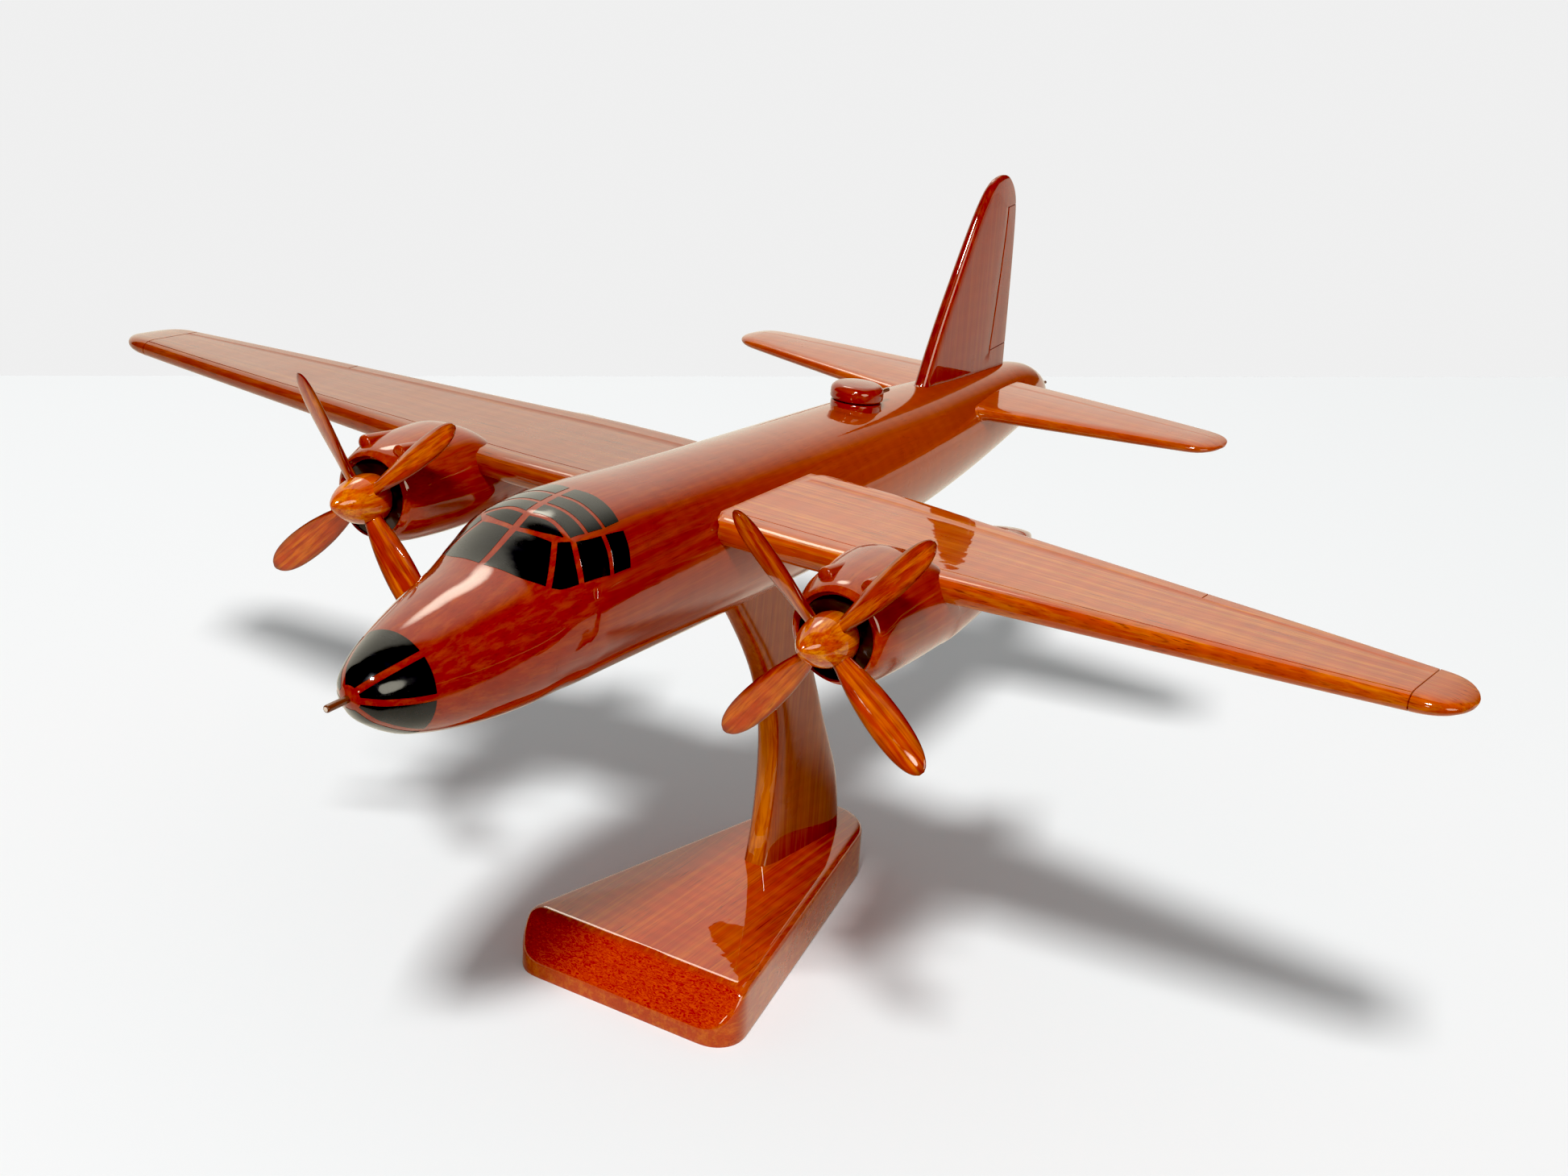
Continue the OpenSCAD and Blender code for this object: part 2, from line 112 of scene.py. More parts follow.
def curve(table, s, k):
    """Column k of a table at s, on a smooth curve through its rows."""
    i = max([0] + [j for j in range(len(table) - 1) if table[j][0] <= s])
    h = table[i + 1][0] - table[i][0]
    u = (s - table[i][0]) / h

    def slope(j):
        a, b = max(j - 1, 0), min(j + 1, len(table) - 1)
        return (table[b][k] - table[a][k]) / (table[b][0] - table[a][0])

    return (
        (2 * u**3 - 3 * u * u + 1) * table[i][k] + (u**3 - 2 * u * u + u) * h * slope(i)
        + (3 * u * u - 2 * u**3) * table[i + 1][k] + (u**3 - u * u) * h * slope(i + 1)
    )


def signed_power(v, p):
    return math.copysign(abs(v) ** p, v)


def steps(table, n):
    """The first column's numbers, with n even steps from each row to the next."""
    out = [lerp(a[0], b[0], k / n) for a, b in zip(table, table[1:]) for k in range(n)]
    return out + [table[-1][0]]


def lerp(a, b, s):
    return a + (b - a) * s


def clamp(s):
    return min(1.0, max(0.0, s))


# ---------------------------------------- mesh helpers
def add_object(name, data):
    obj = bpy.data.objects.new(name, data)
    bpy.context.scene.collection.objects.link(obj)
    return obj


def clean_mesh(name, verts, faces, smooth, rim=None):
    """A mesh from millimetre vertices, with doubled points merged and its faces turned outwards."""
    mesh = bpy.data.meshes.new(name)
    mesh.from_pydata([Vector(v) * MM for v in verts], [], faces)
    if rim:
        mesh.attributes.new("rim", "FLOAT", "POINT").data.foreach_set("value", rim)
    bm = bmesh.new()
    bm.from_mesh(mesh)
    bmesh.ops.remove_doubles(bm, verts=bm.verts, dist=2e-6)
    bmesh.ops.dissolve_degenerate(bm, dist=1e-7, edges=bm.edges)
    bmesh.ops.recalc_face_normals(bm, faces=bm.faces)
    for f in bm.faces:
        f.smooth = smooth
    bm.to_mesh(mesh)
    bm.free()
    return mesh


def build(name, verts, faces, body, material, slot, replaced=(), sharp=40, rim=None):
    """A smooth-shaded object riding on its body, sharp at edges over that many degrees.

    rim holds one number a vertex for the material: 1 where the wood is darkest, at a groove or an edge.
    """
    mesh = clean_mesh(name, verts, faces, True, rim)
    mesh.set_sharp_from_angle(angle=math.radians(sharp))
    mesh.materials.append(material)
    obj = add_object(name, mesh)
    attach(obj, body)
    if replaced:
        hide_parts(*replaced)
    return obj


def carve(obj, verts, faces):
    """Cuts the solid that those faces close out of obj, for good."""
    tool = add_object("cutter", clean_mesh("cutter", verts, faces, False))
    mod = obj.modifiers.new("carve", "BOOLEAN")
    mod.operation, mod.solver, mod.object = "DIFFERENCE", "EXACT", tool
    bpy.context.view_layer.update()
    done = bpy.data.meshes.new_from_object(obj.evaluated_get(bpy.context.evaluated_depsgraph_get()))
    obj.modifiers.clear()
    obj.data = done
    bpy.data.objects.remove(tool)


def skin(rings, cap=True):
    """Quads over rings of equal length, with an end face on each end."""
    n = len(rings[0])
    verts = [p for r in rings for p in r]
    faces = []
    for i in range(len(rings) - 1):
        for k in range(n):
            a, b = i * n + k, i * n + (k + 1) % n
            faces.append((a, b, b + n, a + n))
    if cap:
        faces += [tuple(range(n)), tuple(range(len(verts) - n, len(verts)))]
    return verts, faces


def circle(r, s, matrix, n, way=1):
    """n points round the matrix's Z at height s, the other way round for way -1."""
    angles = [way * 2 * math.pi * k / n for k in range(n)]
    return [matrix @ Vector((r * math.cos(a), r * math.sin(a), s)) for a in angles]


def lathe(profile, matrix, n, cap=True):
    """A profile of (radius, height) turned about the matrix's Z."""
    return skin([circle(max(r, 0.0), s, matrix, n) for r, s in profile], cap)


def join(parts):
    verts, faces = [], []
    for v, f in parts:
        faces += [tuple(i + len(verts) for i in q) for q in f]
        verts += list(v)
    return verts, faces


def along_y(x, y, z, tilt=0.0):
    """A frame whose Z runs along +Y from that point, leaning down by tilt."""
    return (
        Matrix.Translation((x, y, z))
        @ Matrix.Rotation(math.radians(-tilt), 4, "X")
        @ Matrix.Rotation(math.radians(-90), 4, "X")
    )


def rod(radius, length, round_end=True):
    """Profile of a rod with a softly rounded start, and end where asked."""
    k = [(0, 0), (0.5, 0.03), (0.8, 0.12), (0.95, 0.3), (1, 0.55)]
    start = [(a * radius, b * radius) for a, b in k]
    end = [(a, length - b) for a, b in start] if round_end else [(0, length), (radius, length)]
    return start + end[::-1]


def on_side(side, verts):
    """The port side's points, or their mirror image."""
    return verts if side == "port" else [(-v[0], v[1], v[2]) for v in verts]


# ---------------------------------------- materials
class Nodes:
    """Short hand for building a node tree."""

    def __init__(self, tree):
        self.tree = tree

    def node(self, kind, **values):
        """A new node, with its own settings or the numbers of its inputs."""
        n = self.tree.nodes.new(kind)
        for key, value in values.items():
            if hasattr(n, key):
                setattr(n, key, value)
            else:
                n.inputs[key.replace("_", " ")].default_value = value
        return n

    def feed(self, value, socket):
        """Sets a socket to a number or a colour, or links an output to it."""
        if isinstance(value, (int, float)):
            socket.default_value = value
        elif isinstance(value, tuple):
            socket.default_value = (*value, 1)
        else:
            self.tree.links.new(value, socket)

    def math(self, operation, *values):
        n = self.node("ShaderNodeMath", operation=operation)
        for value, socket in zip(values, n.inputs):
            self.feed(value, socket)
        return n.outputs[0]

    def mix(self, share, a, b, blend="MIX"):
        """A colour between a and b."""
        n = self.node("ShaderNodeMix", data_type="RGBA", blend_type=blend)
        for k, value in ((0, share), (6, a), (7, b)):
            self.feed(value, n.inputs[k])
        return n.outputs[2]

    def pick(self, share, a, b):
        """A number between a and b."""
        n = self.node("ShaderNodeMix", data_type="FLOAT")
        for k, value in ((0, share), (2, a), (3, b)):
            self.feed(value, n.inputs[k])
        return n.outputs[0]

    def step(self, value, low, high, top=1.0, kind="SMOOTHSTEP"):
        """0 at low, and from there to top at high."""
        n = self.node("ShaderNodeMapRange", interpolation_type=kind, From_Min=low, From_Max=high, To_Max=top)
        self.feed(value, n.inputs["Value"])
        return n.outputs["Result"]

    def axis(self, vector, letter):
        n = self.node("ShaderNodeSeparateXYZ")
        self.feed(vector, n.inputs[0])
        return n.outputs[letter]

    def toward(self, vector, direction):
        """Cosine between a vector and a direction."""
        n = self.node("ShaderNodeVectorMath", operation="DOT_PRODUCT")
        self.feed(vector, n.inputs[0])
        n.inputs[1].default_value = Vector(direction).normalized()
        return n.outputs["Value"]


class Material(Nodes):
    """A new material, built round its one shader."""

    def __init__(self, name):
        self.mat = bpy.data.materials.new(name)
        self.mat.use_nodes = True
        super().__init__(self.mat.node_tree)
        self.shader = self.tree.nodes["Principled BSDF"]

    def coords(self, rotation=(0, 0, 0), scale=(1, 1, 1), location=(0, 0, 0)):
        """Object coordinates, turned first and then scaled along the turned axes."""
        turned = self.node("ShaderNodeMapping", Rotation=rotation)
        self.feed(self.node("ShaderNodeTexCoord").outputs["Object"], turned.inputs["Vector"])
        placed = self.node("ShaderNodeMapping", Scale=scale, Location=location)
        self.feed(turned.outputs["Vector"], placed.inputs["Vector"])
        return placed.outputs["Vector"]

    def noise(self, vector, scale, detail=4.0, rough=0.5, distortion=0.0):
        n = self.node("ShaderNodeTexNoise", Scale=scale, Detail=detail, Roughness=rough)
        self.feed(distortion, n.inputs["Distortion"])
        self.feed(vector, n.inputs["Vector"])
        return n.outputs["Fac"]

    def ramp(self, value, *stops):
        """Greys or colours at places along a value: (place, grey or colour)."""
        n = self.node("ShaderNodeValToRGB")
        marks = n.color_ramp.elements
        while len(marks) < len(stops):
            marks.new(0.5)
        for mark, (place, colour) in zip(marks, stops):
            mark.position = place
            mark.color = (*colour, 1) if isinstance(colour, tuple) else (colour, colour, colour, 1)
        self.feed(value, n.inputs["Fac"])
        return n.outputs["Color"]

    def facing(self, direction):
        """1 where the piece's own surface looks that way."""
        normal = self.node("ShaderNodeTexCoord").outputs["Normal"]
        return self.ramp(self.toward(normal, direction), (0.9, 0.0), (0.97, 1.0))

    def bump(self, height, strength, distance, normal=None):
        n = self.node("ShaderNodeBump", Strength=strength, Distance=distance)
        self.feed(height, n.inputs["Height"])
        if normal is not None:
            self.feed(normal, n.inputs["Normal"])
        return n.outputs["Normal"]

    def set(self, **values):
        """Feeds the shader's own inputs."""
        for key, value in values.items():
            self.feed(value, self.shader.inputs[key.replace("_", " ")])


RIPPLE = 0.06  # unevenness of the lacquer coat


def wood(
    name, dark, base, light, turn=(0, 0, 0), pores=0.5, figure=0.5, seed=0.0, rim=0.0, face=None,
    contrast=0.5, golden=None,
):
    """Lacquered mahogany. The grain runs along X after the turn, and contrast is how strongly it shows.

    rim is how far the mesh's rim numbers darken the wood. face gives the faces that look one way
    their own two colours: (direction, dark colour, light colour, grain scale). golden makes the wood
    lighter towards the tail: (from y, to y, how far).
    """
    m = Material(name)
    at = (seed, seed * 0.7, seed * 1.3)
    broad = m.coords(turn, (10, 24, 24), at)
    grain = m.coords(turn, (7, 110, 110), at)
    streak = m.coords(turn, (16, 480, 480), at)
    line = m.coords(turn, (28, 1500, 1500), at)
    pore = m.coords(turn, (110, 2600, 2600), at)
    plain = m.coords(turn, (1, 1, 1), at)
    tone = m.noise(broad, 1.0, 3.0, 0.55, 0.8)
    colour = m.mix(m.ramp(tone, (0.25, 1 - contrast), (0.68, 1.0)), dark, base)
    band = m.noise(grain, 1.0, 5.0, 0.6, 0.5)
    colour = m.mix(m.ramp(band, (0.4, 0.0), (0.66, 0.8)), colour, base)
    fine = m.noise(streak, 1.0, 5.0, 0.65, 0.3)
    colour = m.mix(m.ramp(fine, (0.46, 0.0), (0.68, contrast)), colour, light)
    lines = m.noise(line, 1.0, 2.0, 0.5, 0.2)
    colour = m.mix(m.ramp(lines, (0.52, 0.0), (0.68, 0.6 * contrast)), colour, dark)
    if golden:
        colour = m.mix(m.step(m.axis(m.coords(), "Y"), *golden), colour, light)
    # ribbon figure across the grain
    ribbon = m.node("ShaderNodeTexWave", Scale=1.0, Distortion=6.0, Detail=2.0, Detail_Scale=0.6)
    m.feed(m.coords(turn, (46, 9, 9), at), ribbon.inputs["Vector"])
    shade = m.ramp(ribbon.outputs["Fac"], (0.0, 1.0), (1.0, 1.0 - 0.3 * figure))
    colour = m.mix(1.0, colour, shade, "MULTIPLY")
    # open pores: short dark dashes along the grain, in patches
    dashes = m.ramp(m.noise(pore, 1.0, 1.5, 0.4), (0.60, 0.0), (0.70, 1.0))
    patches = m.ramp(m.noise(plain, 60.0, 2.0, 0.5), (0.38, 0.1), (0.62, 1.0))
    dashes = m.mix(1.0, dashes, patches, "MULTIPLY")
    colour = m.mix(m.math("MULTIPLY", dashes, pores), colour, tuple(c * 0.22 for c in dark))
    if face:
        direction, face_dark, face_light, face_scale = face
        mottle = m.noise(m.coords(scale=face_scale), 1.0, 2.0, 0.5, 2.4)
        other = m.mix(m.ramp(mottle, (0.34, 0.0), (0.66, 1.0)), face_dark, face_light)
        colour = m.mix(m.facing(direction), colour, other)
    if rim:
        edge = m.node("ShaderNodeAttribute", attribute_name="rim").outputs["Fac"]
        colour = m.mix(m.math("MULTIPLY", edge, rim), colour, tuple(c * 0.3 for c in dark))
    # worn and handled lacquer: patchy gloss, and a coat that is a little uneven
    haze = m.noise(plain, 45.0, 4.0, 0.6)
    swell = m.noise(plain, 120.0, 2.0, 0.45)
    orange_peel = m.noise(plain, 420.0, 2.0, 0.5)
    m.set(
        Base_Color=colour,
        Roughness=m.ramp(haze, (0.3, 0.24), (0.75, 0.42)),
        Normal=m.bump(dashes, 0.25, 0.00004, m.bump(fine, 0.12, 0.00003)),
        Coat_Normal=m.bump(orange_peel, RIPPLE, 0.00006, m.bump(swell, RIPPLE * 2.2, 0.0004)),
        Coat_Weight=1.0, Coat_Roughness=0.02, Coat_IOR=1.54, IOR=1.45, Specular_IOR_Level=0.04,
    )
    return m.mat


def black_gloss(name, tint, gloss, rough):
    """Black enamel under lacquer, with brush marks and specks."""
    m = Material(name)
    drift = m.noise(m.coords(scale=(60, 220, 220)), 1.0, 3.0, 0.6)
    colour = m.mix(m.ramp(drift, (0.35, 0.0), (0.7, 1.0)), tint, tuple(c * 2.6 for c in tint))
    speck = m.ramp(m.noise(m.coords(), 2600.0, 1.0, 0.4), (0.76, 0.0), (0.8, 0.5))
    m.set(
        Base_Color=m.mix(speck, colour, (0.06, 0.05, 0.045)),
        Roughness=m.ramp(drift, (0.3, rough), (0.8, rough + 0.15)),
        Coat_Normal=m.bump(m.noise(m.coords(), 150.0, 2.0, 0.5), 0.16, 0.0004),
        Coat_Weight=0.75, Coat_Roughness=gloss, Coat_IOR=1.5, Specular_IOR_Level=0.15,
    )
    return m.mat


def metal(name, colour):
    m = Material(name)
    lines = m.noise(m.coords(scale=(4000, 4000, 300)), 1.0, 3.0, 0.6)
    m.set(
        Base_Color=m.mix(m.ramp(lines, (0.3, 0.0), (0.7, 1.0)), tuple(c * 0.8 for c in colour), colour),
        Roughness=m.ramp(lines, (0.3, 0.25), (0.7, 0.42)),
        Normal=m.bump(lines, 0.1, 0.00002),
        Metallic=1.0,
    )
    return m.mat


def bare_wood(name, dark, light):
    m = Material(name)
    grain = m.noise(m.coords(scale=(60, 900, 900)), 1.0, 4.0, 0.6)
    m.set(
        Base_Color=m.mix(m.ramp(grain, (0.35, 0.0), (0.68, 1.0)), dark, light),
        Roughness=m.ramp(grain, (0.3, 0.55), (0.7, 0.75)),
        Normal=m.bump(grain, 0.3, 0.00005),
    )
    return m.mat


QUARTER = math.pi / 2
ALONG_Y, ALONG_Z = (0, 0, QUARTER), (0, QUARTER, 0)
# each wood's dark, middle and light colour
RED = ((0.14, 0.003, 0.001), (0.31, 0.019, 0.002), (0.48, 0.085, 0.004))
WARM = ((0.32, 0.02, 0.002), (0.55, 0.08, 0.004), (0.78, 0.27, 0.016))
CLEAR = ((0.2, 0.012, 0.002), (0.33, 0.045, 0.003), (0.46, 0.13, 0.01))
TAIL_WOOD = ((0.3, 0.018, 0.002), (0.47, 0.065, 0.004), (0.66, 0.18, 0.012))
COWL_WOOD = ((0.17, 0.005, 0.001), (0.35, 0.03, 0.002), (0.52, 0.12, 0.005))
COLUMN_WOOD = ((0.13, 0.008, 0.001), (0.31, 0.042, 0.002), (0.48, 0.12, 0.004))
BASE_WOOD = ((0.27, 0.008, 0.001), (0.47, 0.05, 0.003), (0.66, 0.18, 0.009))
SPINNER_WOOD = ((0.3, 0.016, 0.001), (0.6, 0.085, 0.002), (0.82, 0.28, 0.01))
BLADE_WOOD = ((0.2, 0.006, 0.001), (0.47, 0.048, 0.002), (0.74, 0.2, 0.006))
ROD_WOOD = ((0.07, 0.012, 0.004), (0.13, 0.03, 0.01), (0.2, 0.05, 0.016))
# faces that look one way, with their own colours
# painted light: the column's front face is painted lighter than its sides, as its lit side
COLUMN_LIT_FRONT = ((0, -1, 0), (0.4, 0.075, 0.003), (0.62, 0.17, 0.006), (300, 300, 18))
BASE_BEVEL = ((0, -20, 15.7), (0.33, 0.008, 0.001), (0.56, 0.065, 0.003), (480, 1100, 1100))
ROD_END = ((0, -1, 0), (0.5, 0.36, 0.26), (0.85, 0.72, 0.6), (3000, 3000, 3000))

mat_body = wood(
    "lacquered_mahogany_body", *RED, turn=ALONG_Y, pores=0.25, figure=0.2, seed=0.31, contrast=0.38,
    golden=(-0.13, 0.06, 0.5),
)
mat_fin = wood(
    "lacquered_mahogany_fin", *RED, turn=ALONG_Z, pores=0.15, figure=0.2, seed=0.77, rim=0.7, contrast=0.35,
)
mat_wing = {
    "port": wood(
        "lacquered_mahogany_port_wing", *WARM, pores=0.7, figure=0.25, seed=0.13, rim=0.7, contrast=0.55,
    ),
    "starboard": wood(
        "lacquered_mahogany_starboard_wing", *CLEAR, pores=0.6, figure=0.25, seed=1.9, rim=0.7, contrast=0.5,
    ),
}
mat_tail = wood(
    "lacquered_mahogany_tailplanes", *TAIL_WOOD, pores=0.4, figure=0.2, seed=0.6, rim=0.7, contrast=0.45,
)
mat_nacelle = wood(
    "lacquered_mahogany_nacelles", *COWL_WOOD, turn=ALONG_Y, pores=0.3, figure=0.3, seed=2.3, contrast=0.38,
)
# the column's front face is painted lighter than its sides, as its lit side
mat_column = wood(
    "lacquered_mahogany_column", *COLUMN_WOOD, turn=ALONG_Z, pores=0.3, figure=0.2, seed=0.9, contrast=0.45,
    face=COLUMN_LIT_FRONT,
)
mat_base = wood(
    "lacquered_mahogany_base", *BASE_WOOD, turn=ALONG_Y, pores=0.6, figure=0.3, seed=0.45, contrast=0.5,
    face=BASE_BEVEL,
)
mat_turret = wood("lacquered_mahogany_turret", *RED, pores=0.2, figure=0.3, seed=3.1, contrast=0.3)
mat_rod = wood("lacquered_rod", *ROD_WOOD, turn=ALONG_Y, pores=0.2, figure=0.1, seed=0.2)
mat_nose_rod = wood(
    "lacquered_nose_rod", *ROD_WOOD, turn=ALONG_Y, pores=0.2, figure=0.1, seed=0.2, face=ROD_END,
)
mat_glass = black_gloss("black_painted_glazing", (0.0035, 0.0035, 0.0045), 0.03, 0.2)
mat_cowl = black_gloss("black_painted_cowl", (0.02, 0.013, 0.011), 0.12, 0.45)
mat_dowel = bare_wood("bare_dowel", (0.45, 0.28, 0.13), (0.68, 0.5, 0.3))
mat_steel = metal("screw_and_pin_steel", (0.6, 0.59, 0.56))


# ---------------------------------------- fuselage
def fuselage_row(y, upper):
    """Middle height, half height, half width and roundness at station y, for the upper or lower half."""
    y = min(max(y, FUSELAGE[0][0]), FUSELAGE[-1][0])
    top, bottom, half_width, power = [curve(FUSELAGE, y, k) for k in range(1, 5)]
    return (top + bottom) / 2, (top - bottom) / 2, half_width, power if upper else LOW_POWER


def fuselage_point(y, a, out=0.0):
    """Point on the fuselage at station y and ring angle a, moved out along the surface normal."""
    def at(yy, aa):
        mid, rise, half_width, power = fuselage_row(yy, math.sin(aa) > 0)
        x = half_width * signed_power(math.cos(aa), 2 / power)
        return Vector((x, yy, mid + rise * signed_power(math.sin(aa), 2 / power)))

    p = at(y, a)
    if not out:
        return p
    e = 0.02
    n = (at(y + e * 5, a) - at(y - e * 5, a)).cross(at(y, a + e) - at(y, a - e))
    n.normalize()
    if n.dot(p - Vector((0, y, AXIS_Z))) < 0:
        n = -n
    return p + n * out


def fuselage_side(p):
    """Half width of the fuselage at a point's station and height."""
    mid = fuselage_row(p.y, True)[0]
    mid, rise, half_width, power = fuselage_row(p.y, p.z > mid)
    return half_width * (1 - min(1.0, abs(p.z - mid) / rise) ** power) ** (1 / power)


def fuselage_height(x, y, way):
    """Height of the fuselage's top (way 1) or underside (way -1) at x, y."""
    mid, rise, half_width, power = fuselage_row(y, way > 0)
    return mid + way * rise * (1 - min(1.0, abs(x) / half_width) ** power) ** (1 / power)


RING_N = 112
PEG_HOLE = [(0, 108), (2.06, 108), (2.06, 132), (0, 132)]
PEG_YS = (-9, 2.5)
stations = sorted({round(y, 3) for y in steps(FUSELAGE, 7)} | {-184.0, -183.7, -183.4})
rings = [[fuselage_point(y, 2 * math.pi * k / RING_N) for k in range(RING_N)] for y in stations]
body = build("fuselage_body", *skin(rings), "airframe", mat_body, "body_wood", ["fuselage"])
for y in PEG_YS:
    carve(body, *lathe(PEG_HOLE, Matrix.Translation((0, y, 0)), 40))


# ---------------------------------------- painted panes
PROUD, PANE_ROOT = 0.07, 0.25  # how far a pane's face stands over the wood, and its root lies under it


def along(points, s):
    """Point at share s of a curve through (y, angle) points."""
    n = len(points) - 1
    if n == 1:
        return tuple(lerp(a, b, s) for a, b in zip(*points))
    rows = [(i / n, p[0], p[1]) for i, p in enumerate(points)]
    return curve(rows, s, 1), curve(rows, s, 2)


def pane(low, high, left, right, gaps, nu=22, nv=16):
    """A thin closed shell over the patch between four (y, angle) curves.

    gaps are the millimetres of wood left bare at left, right, low and high.
    """
    def place(u, v, out=0.0):
        a, b, c, d = along(low, u), along(high, u), along(left, v), along(right, v)
        y, angle = [
            lerp(a[i], b[i], v) + lerp(c[i], d[i], u)
            - lerp(lerp(low[0][i], low[-1][i], u), lerp(high[0][i], high[-1][i], u), v)
            for i in (0, 1)
        ]
        return fuselage_point(y, math.radians(angle), out)

    def run(points):
        return sum((q - p).length for p, q in zip(points, points[1:]))

    wides = [run([place(k / 6, j / nv) for k in range(7)]) for j in range(nv + 1)]
    talls = [run([place(i / nu, k / 6) for k in range(7)]) for i in range(nu + 1)]
    top, under = [], []
    for j, wide in enumerate(wides):
        for i, tall in enumerate(talls):
            left_gap, right_gap = [min(0.48, g / max(wide, 0.01)) for g in gaps[:2]]
            low_gap, high_gap = [min(0.48, g / max(tall, 0.01)) for g in gaps[2:]]
            u, v = lerp(left_gap, 1 - right_gap, i / nu), lerp(low_gap, 1 - high_gap, j / nv)
            top.append(place(u, v, PROUD))
            under.append(place(u, v, -PANE_ROOT))
    n, m = nu + 1, len(top)
    faces = []
    for j in range(nv):
        for i in range(nu):
            q = (j * n + i, j * n + i + 1, (j + 1) * n + i + 1, (j + 1) * n + i)
            faces += [q, tuple(m + k for k in reversed(q))]
    rim = list(range(n)) + [j * n + nu for j in range(1, nv + 1)]
    rim += [nv * n + i for i in range(nu - 1, -1, -1)] + [j * n for j in range(nv - 1, 0, -1)]
    for a, b in zip(rim, rim[1:] + rim[:1]):
        faces.append((a, b, b + m, a + m))
    return top + under, faces


# the canopy's bars as (y, angle round the fuselage) lines
FOOT = [(-134.6, 90), (-133.9, 77), (-132.6, 62), (-129, 44.3)]
BAR = [(-121.5, 90), (-120.6, 77), (-119.6, 64.8)]
PILLAR_1 = [(-129, 44.3), (-119.6, 64.8)]
PILLAR_2 = [(-120.7, 31.6), (-118.7, 44.8), (-116.2, 57)]
PILLAR_3 = [(-110.9, 25.2), (-108.6, 38), (-106.8, 51)]
REAR = [(-103.3, 24.4), (-101, 36), (-99.1, 48.5)]
HOOPS = [
    [(-116.1, 90), (-115.3, 79), (-115.9, 69), (-117, 57)],
    [(-110, 90), (-109.8, 77), (-110.3, 66), (-111.5, 53.4)],
    [(-104, 90), (-103.5, 77), (-104.2, 63), (-105.2, 51)],
    [(-97.6, 90), (-96.5, 77), (-97, 64), (-98.7, 51)],
]
BROW = [(-121.5, 90), (-120.4, 76), (-118.2, 62.5)]
BROW_REAR = [(-116.1, 90), (-115.4, 76), (-116.6, 62.5)]
SILL_2 = [FOOT[-1], (-126, 37), PILLAR_2[0]]
SILL_3 = [PILLAR_2[0], (-116, 28), PILLAR_3[0]]
TOP_3 = [PILLAR_2[-1], (-112, 53.5), PILLAR_3[-1]]


def ends(a, b, k):
    return [a[k], b[k]]


panes = [
    pane(FOOT, BAR, ends(FOOT, BAR, 0), PILLAR_1, (0.8, 0.8, 0, 0.8)),
    pane(SILL_2, ends(BAR, PILLAR_2, -1), PILLAR_1, PILLAR_2, (0.8, 0.7, 0, 0.6)),
    pane(SILL_3, TOP_3, PILLAR_2, PILLAR_3, (0.8, 0.7, 0, 0.9)),
    pane(ends(PILLAR_3, REAR, 0), ends(PILLAR_3, REAR, -1), PILLAR_3, REAR, (0.8, 0, 0, 0.9)),
    pane(BROW, BROW_REAR, ends(BROW, BROW_REAR, 0), ends(BROW, BROW_REAR, -1), (0.8, 0, 0.7, 0.7)),
]
for a, b, rear_gap in zip(HOOPS, HOOPS[1:], (0.6, 0.6, 0)):
    panes.append(pane(a, b, ends(a, b, 0), ends(a, b, -1), (0.8, 0.9, 0.6, rear_gap)))
verts, faces = join(panes)
for side in SIDES:
    build("canopy_panes_" + side, on_side(side, verts), faces, "airframe", mat_glass, "body_wood", sharp=50)

CAP_REAR, CAP_TIP = -167.4, -183.0
CAP_ANGLES = (-50, 0, 49, 131, 180, 230, 310)
caps = []
for a0, a1 in zip(CAP_ANGLES, CAP_ANGLES[1:]):
    wide = 2 if a1 - a0 > 60 else 1
    caps.append(pane(
        [(CAP_TIP, a0), (CAP_TIP, a1)], [(CAP_REAR, a0), (CAP_REAR, a1)],
        [(CAP_TIP, a0), (CAP_REAR, a0)], [(CAP_TIP, a1), (CAP_REAR, a1)], (0.9, 0.9, 0, 0), 20 * wide, 34,
    ))
build("nose_cap_panes", *join(caps), "airframe", mat_glass, "body_wood", sharp=50)


# ---------------------------------------- wings, tail and fin
GROOVE = 0.4  # half width of an engraved line
GROOVE_F, GROOVE_R = 11, 23  # places of the front and rear lines in a section's list
FRONT_CUT, CHORD_CUT, ROOT_DEPTH = 0.3, 0.32, 0.6
# the front edge rounds off over NOSE_RUN and the rear edge over TAIL_RUN. In between the plank loses
# REAR_LOSS of its thickness, from FULL_UNTIL of the chord where it isn't a wedge
NOSE_RUN, FULL_UNTIL, REAR_LOSS, TAIL_RUN = 4.5, 0.34, 0.58, 0.9


def section(c, front, rear, f, wedge):
    """Stations over the chord c, close together at the lines front and rear, each with its share of the
    half thickness. f shrinks the rounded edges where the chord is short.
    """
    nose, tail = NOSE_RUN * f, c - TAIL_RUN * f
    across = [-GROOVE, -GROOVE / 2, 0, GROOVE / 2, GROOVE]
    us = [u * f for u in (0, 0.03, 0.1, 0.25, 0.5, 0.85, 1.25)]
    us += [lerp(us[-1], front - GROOVE, k / 3) for k in (1, 2)]
    us += [front + d for d in across]
    us += [lerp(front + GROOVE, rear - GROOVE, k / 10) for k in range(1, 10)]
    us += [rear + d for d in across]
    us += [lerp(rear + GROOVE, tail, k / 3) for k in (1, 2)] + [tail]
    us += [c - k * f for k in (0.6, 0.35, 0.15, 0.04)] + [c]
    out = []
    for u in us:
        if u <= nose:
            share = math.sqrt(max(0.0, 1 - (1 - u / nose) ** 3))
        elif u > tail:
            share = (1 - REAR_LOSS) * math.sqrt(max(0.0, 1 - ((u - tail) / (TAIL_RUN * f)) ** 2))
        elif wedge:
            share = 1 - REAR_LOSS * (u - nose) / (tail - nose)
        else:
            share = 1 - REAR_LOSS * max(0.0, (u - FULL_UNTIL * c) / (tail - FULL_UNTIL * c)) ** 2
        out.append((u, share))
    return out


